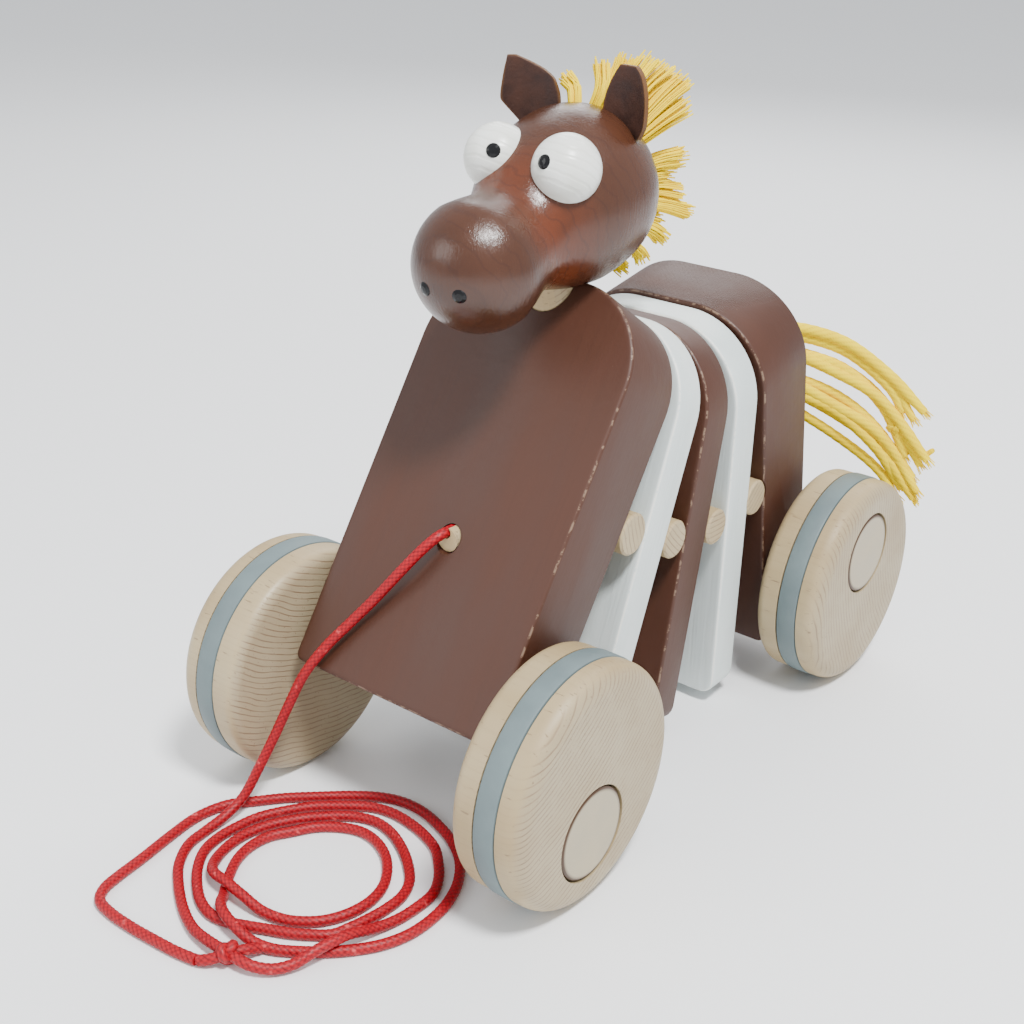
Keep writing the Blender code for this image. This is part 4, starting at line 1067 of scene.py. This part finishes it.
def make_mane():
    """Frayed tufts of yarn: angle round the skull, reach from its centre, how far aside, and spread."""
    rng = random.Random(11)
    skull = Vector((0.0, *SKULL))
    parts, heights = [], []
    tufts = (
        (73, 26.5, -9.0, 1.8), (63, 31.5, -2.5, 2.4), (56.5, 35.0, 0.5, 2.4), (49, 38.5, 3.0, 2.8),
        (41, 41.0, 5.0, 3.2), (34.5, 41.5, 8.0, 3.0), (28, 38.5, 9.0, 3.0), (46, 36.5, -4.0, 2.6),
        (36, 36.0, -1.0, 3.0), (6, 36.0, 8.0, 2.8), (0, 36.5, 4.0, 2.8), (-6, 38.0, 7.5, 2.6),
        (-14, 42.0, 8.0, 2.4), (-10, 35.0, -3.0, 3.0), (-20, 36.0, 3.0, 2.6), (-26, 35.0, 7.0, 2.2),
        (-33, 32.0, -3.0, 2.2), (-39, 31.0, 6.0, 2.2), (-47, 28.5, 3.0, 2.0), (-53, 26.5, 6.0, 1.8),
    )
    for angle_deg, reach, aside, spread in tufts:
        out = spoke(angle_deg + rng.uniform(-2.0, 2.0))
        root = skull + out * (SKULL_RADIUS - 2.0) + Vector((aside * 0.45, 0.0, 0.0))
        tip = skull + out * reach + Vector((aside, 0.0, 0.0))
        bow = Vector((rng.uniform(-2.2, 2.2), rng.uniform(-1.6, 1.6), rng.uniform(-0.6, 2.0)))
        add_tuft(rng, parts, heights, root, tip, MANE_FIBRES, (1.5, spread), 0.27, bow)
    mane = new_object("mane_fibres", *joined(parts), yellow_yarn("mane_yarn"), 80.0)
    mark(mane, "height", np.concatenate(heights))
    settle(mane, "chest", "yellow_yarn", "mane")


def make_tail():
    """Twisted yarns that leave one hole, arch over and hang down beside each other."""
    rng = random.Random(5)
    mouth = board_point("rump_board", TAIL_HOLE_UP, BOARDS["rump_board"][3])
    # how low the yarn hangs between the top and the bottom one, how it bulges aside on its way, and its tip
    strands = (
        (0.0, 0.6, (49.0, 99.0, 71.4)), (0.05, -1.4, (46.6, 98.0, 68.4)), (0.13, 1.0, (43.0, 97.4, 70.6)),
        (0.27, -2.2, (52.2, 98.6, 57.0)), (0.36, 1.2, (50.0, 99.4, 54.4)), (0.43, 3.6, (45.4, 98.2, 56.6)),
        (0.62, -2.8, (48.2, 99.4, 50.0)), (0.70, 1.4, (50.6, 98.2, 46.4)), (0.80, -1.0, (49.7, 99.0, 43.6)),
        (0.87, 2.4, (45.4, 98.8, 45.8)), (1.04, -1.8, (45.0, 98.0, 42.6)),
    )
    parts, heights = [], []
    for index, (down, bulge, tip) in enumerate(strands):
        turn = 2.4 * index
        seat = Vector((2.4 * math.cos(turn), 0.0, 2.4 * math.sin(turn)))
        layer = (-1.6, 1.4, 0.0)[index % 3]
        line = [mouth + seat - Vector((0.0, TAIL_HOLE_DEPTH - 1.0, 0.0)), mouth + seat,
                Vector((5.0, 66.5 + layer, 92.5 - 13.0 * down)),
                Vector((12.0, 77.0 + layer, 95.0 - 22.0 * down + 0.4 * bulge)),
                Vector((25.0, 89.0 + layer, 90.5 - 27.0 * down + bulge)),
                Vector((37.5, 95.2 + layer * 0.6, 82.0 - 28.5 * down + 0.5 * bulge)), Vector(tip)]
        add_yarn(parts, heights, line, (1.65, 1.45, 1.7)[index % 3])
        end = (line[-1] - line[-2]).normalized()
        root, tip = line[-1] - end * 1.5, line[-1] + end * 2.4
        add_tuft(rng, parts, heights, root, tip, TAIL_FIBRES, (0.8, 1.5), 0.2)
    add_yarn(parts, heights, trefoil(TAIL_KNOT, (0.45, 0.1, -0.9), 0.55), 1.15)
    add_yarn(parts, heights, ((48.5, 99.2, 56.5), (50.6, 99.6, 57.6), (53.4, 99.4, 60.4)), 0.8)
    tail = new_object("tail_yarns", *joined(parts), yellow_yarn("tail_yarn"), 80.0)
    mark(tail, "height", np.concatenate(heights))
    settle(tail, "rump", "yellow_yarn", "tail")


# ---- the model's own pieces that stay --------
def dress_nodes():
    wood = beech("peg_beech", (0.0, 14.0, 84.0), 0.9, (0.46, 0.36, 0.20))
    shown = {
        "beech": (wood, ("front_rocker_peg", "second_rocker_peg", "third_rocker_peg", "rear_rocker_peg",
                         "front_axle", "rear_axle", "neck_dowel", "cord_wedge")),
        "red_cord": (red_braid("red_core", 0.6), ["cord_in_" + part for part in (
            "chest", "front_slat", "middle_slat", "rear_slat", "rump")]),
        "black_gloss": (black_gloss(), ("pupil_left", "pupil_right", "nostril_left", "nostril_right")),
    }
    for slot_name, (surface, names) in shown.items():
        for name in names:
            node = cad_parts[name]
            node.data.materials.clear()
            node.data.materials.append(surface)


make_camera()
make_cord()
make_studio()
make_boards()
make_wheels()
make_head()
make_ears()
make_mane()
make_tail()
dress_nodes()
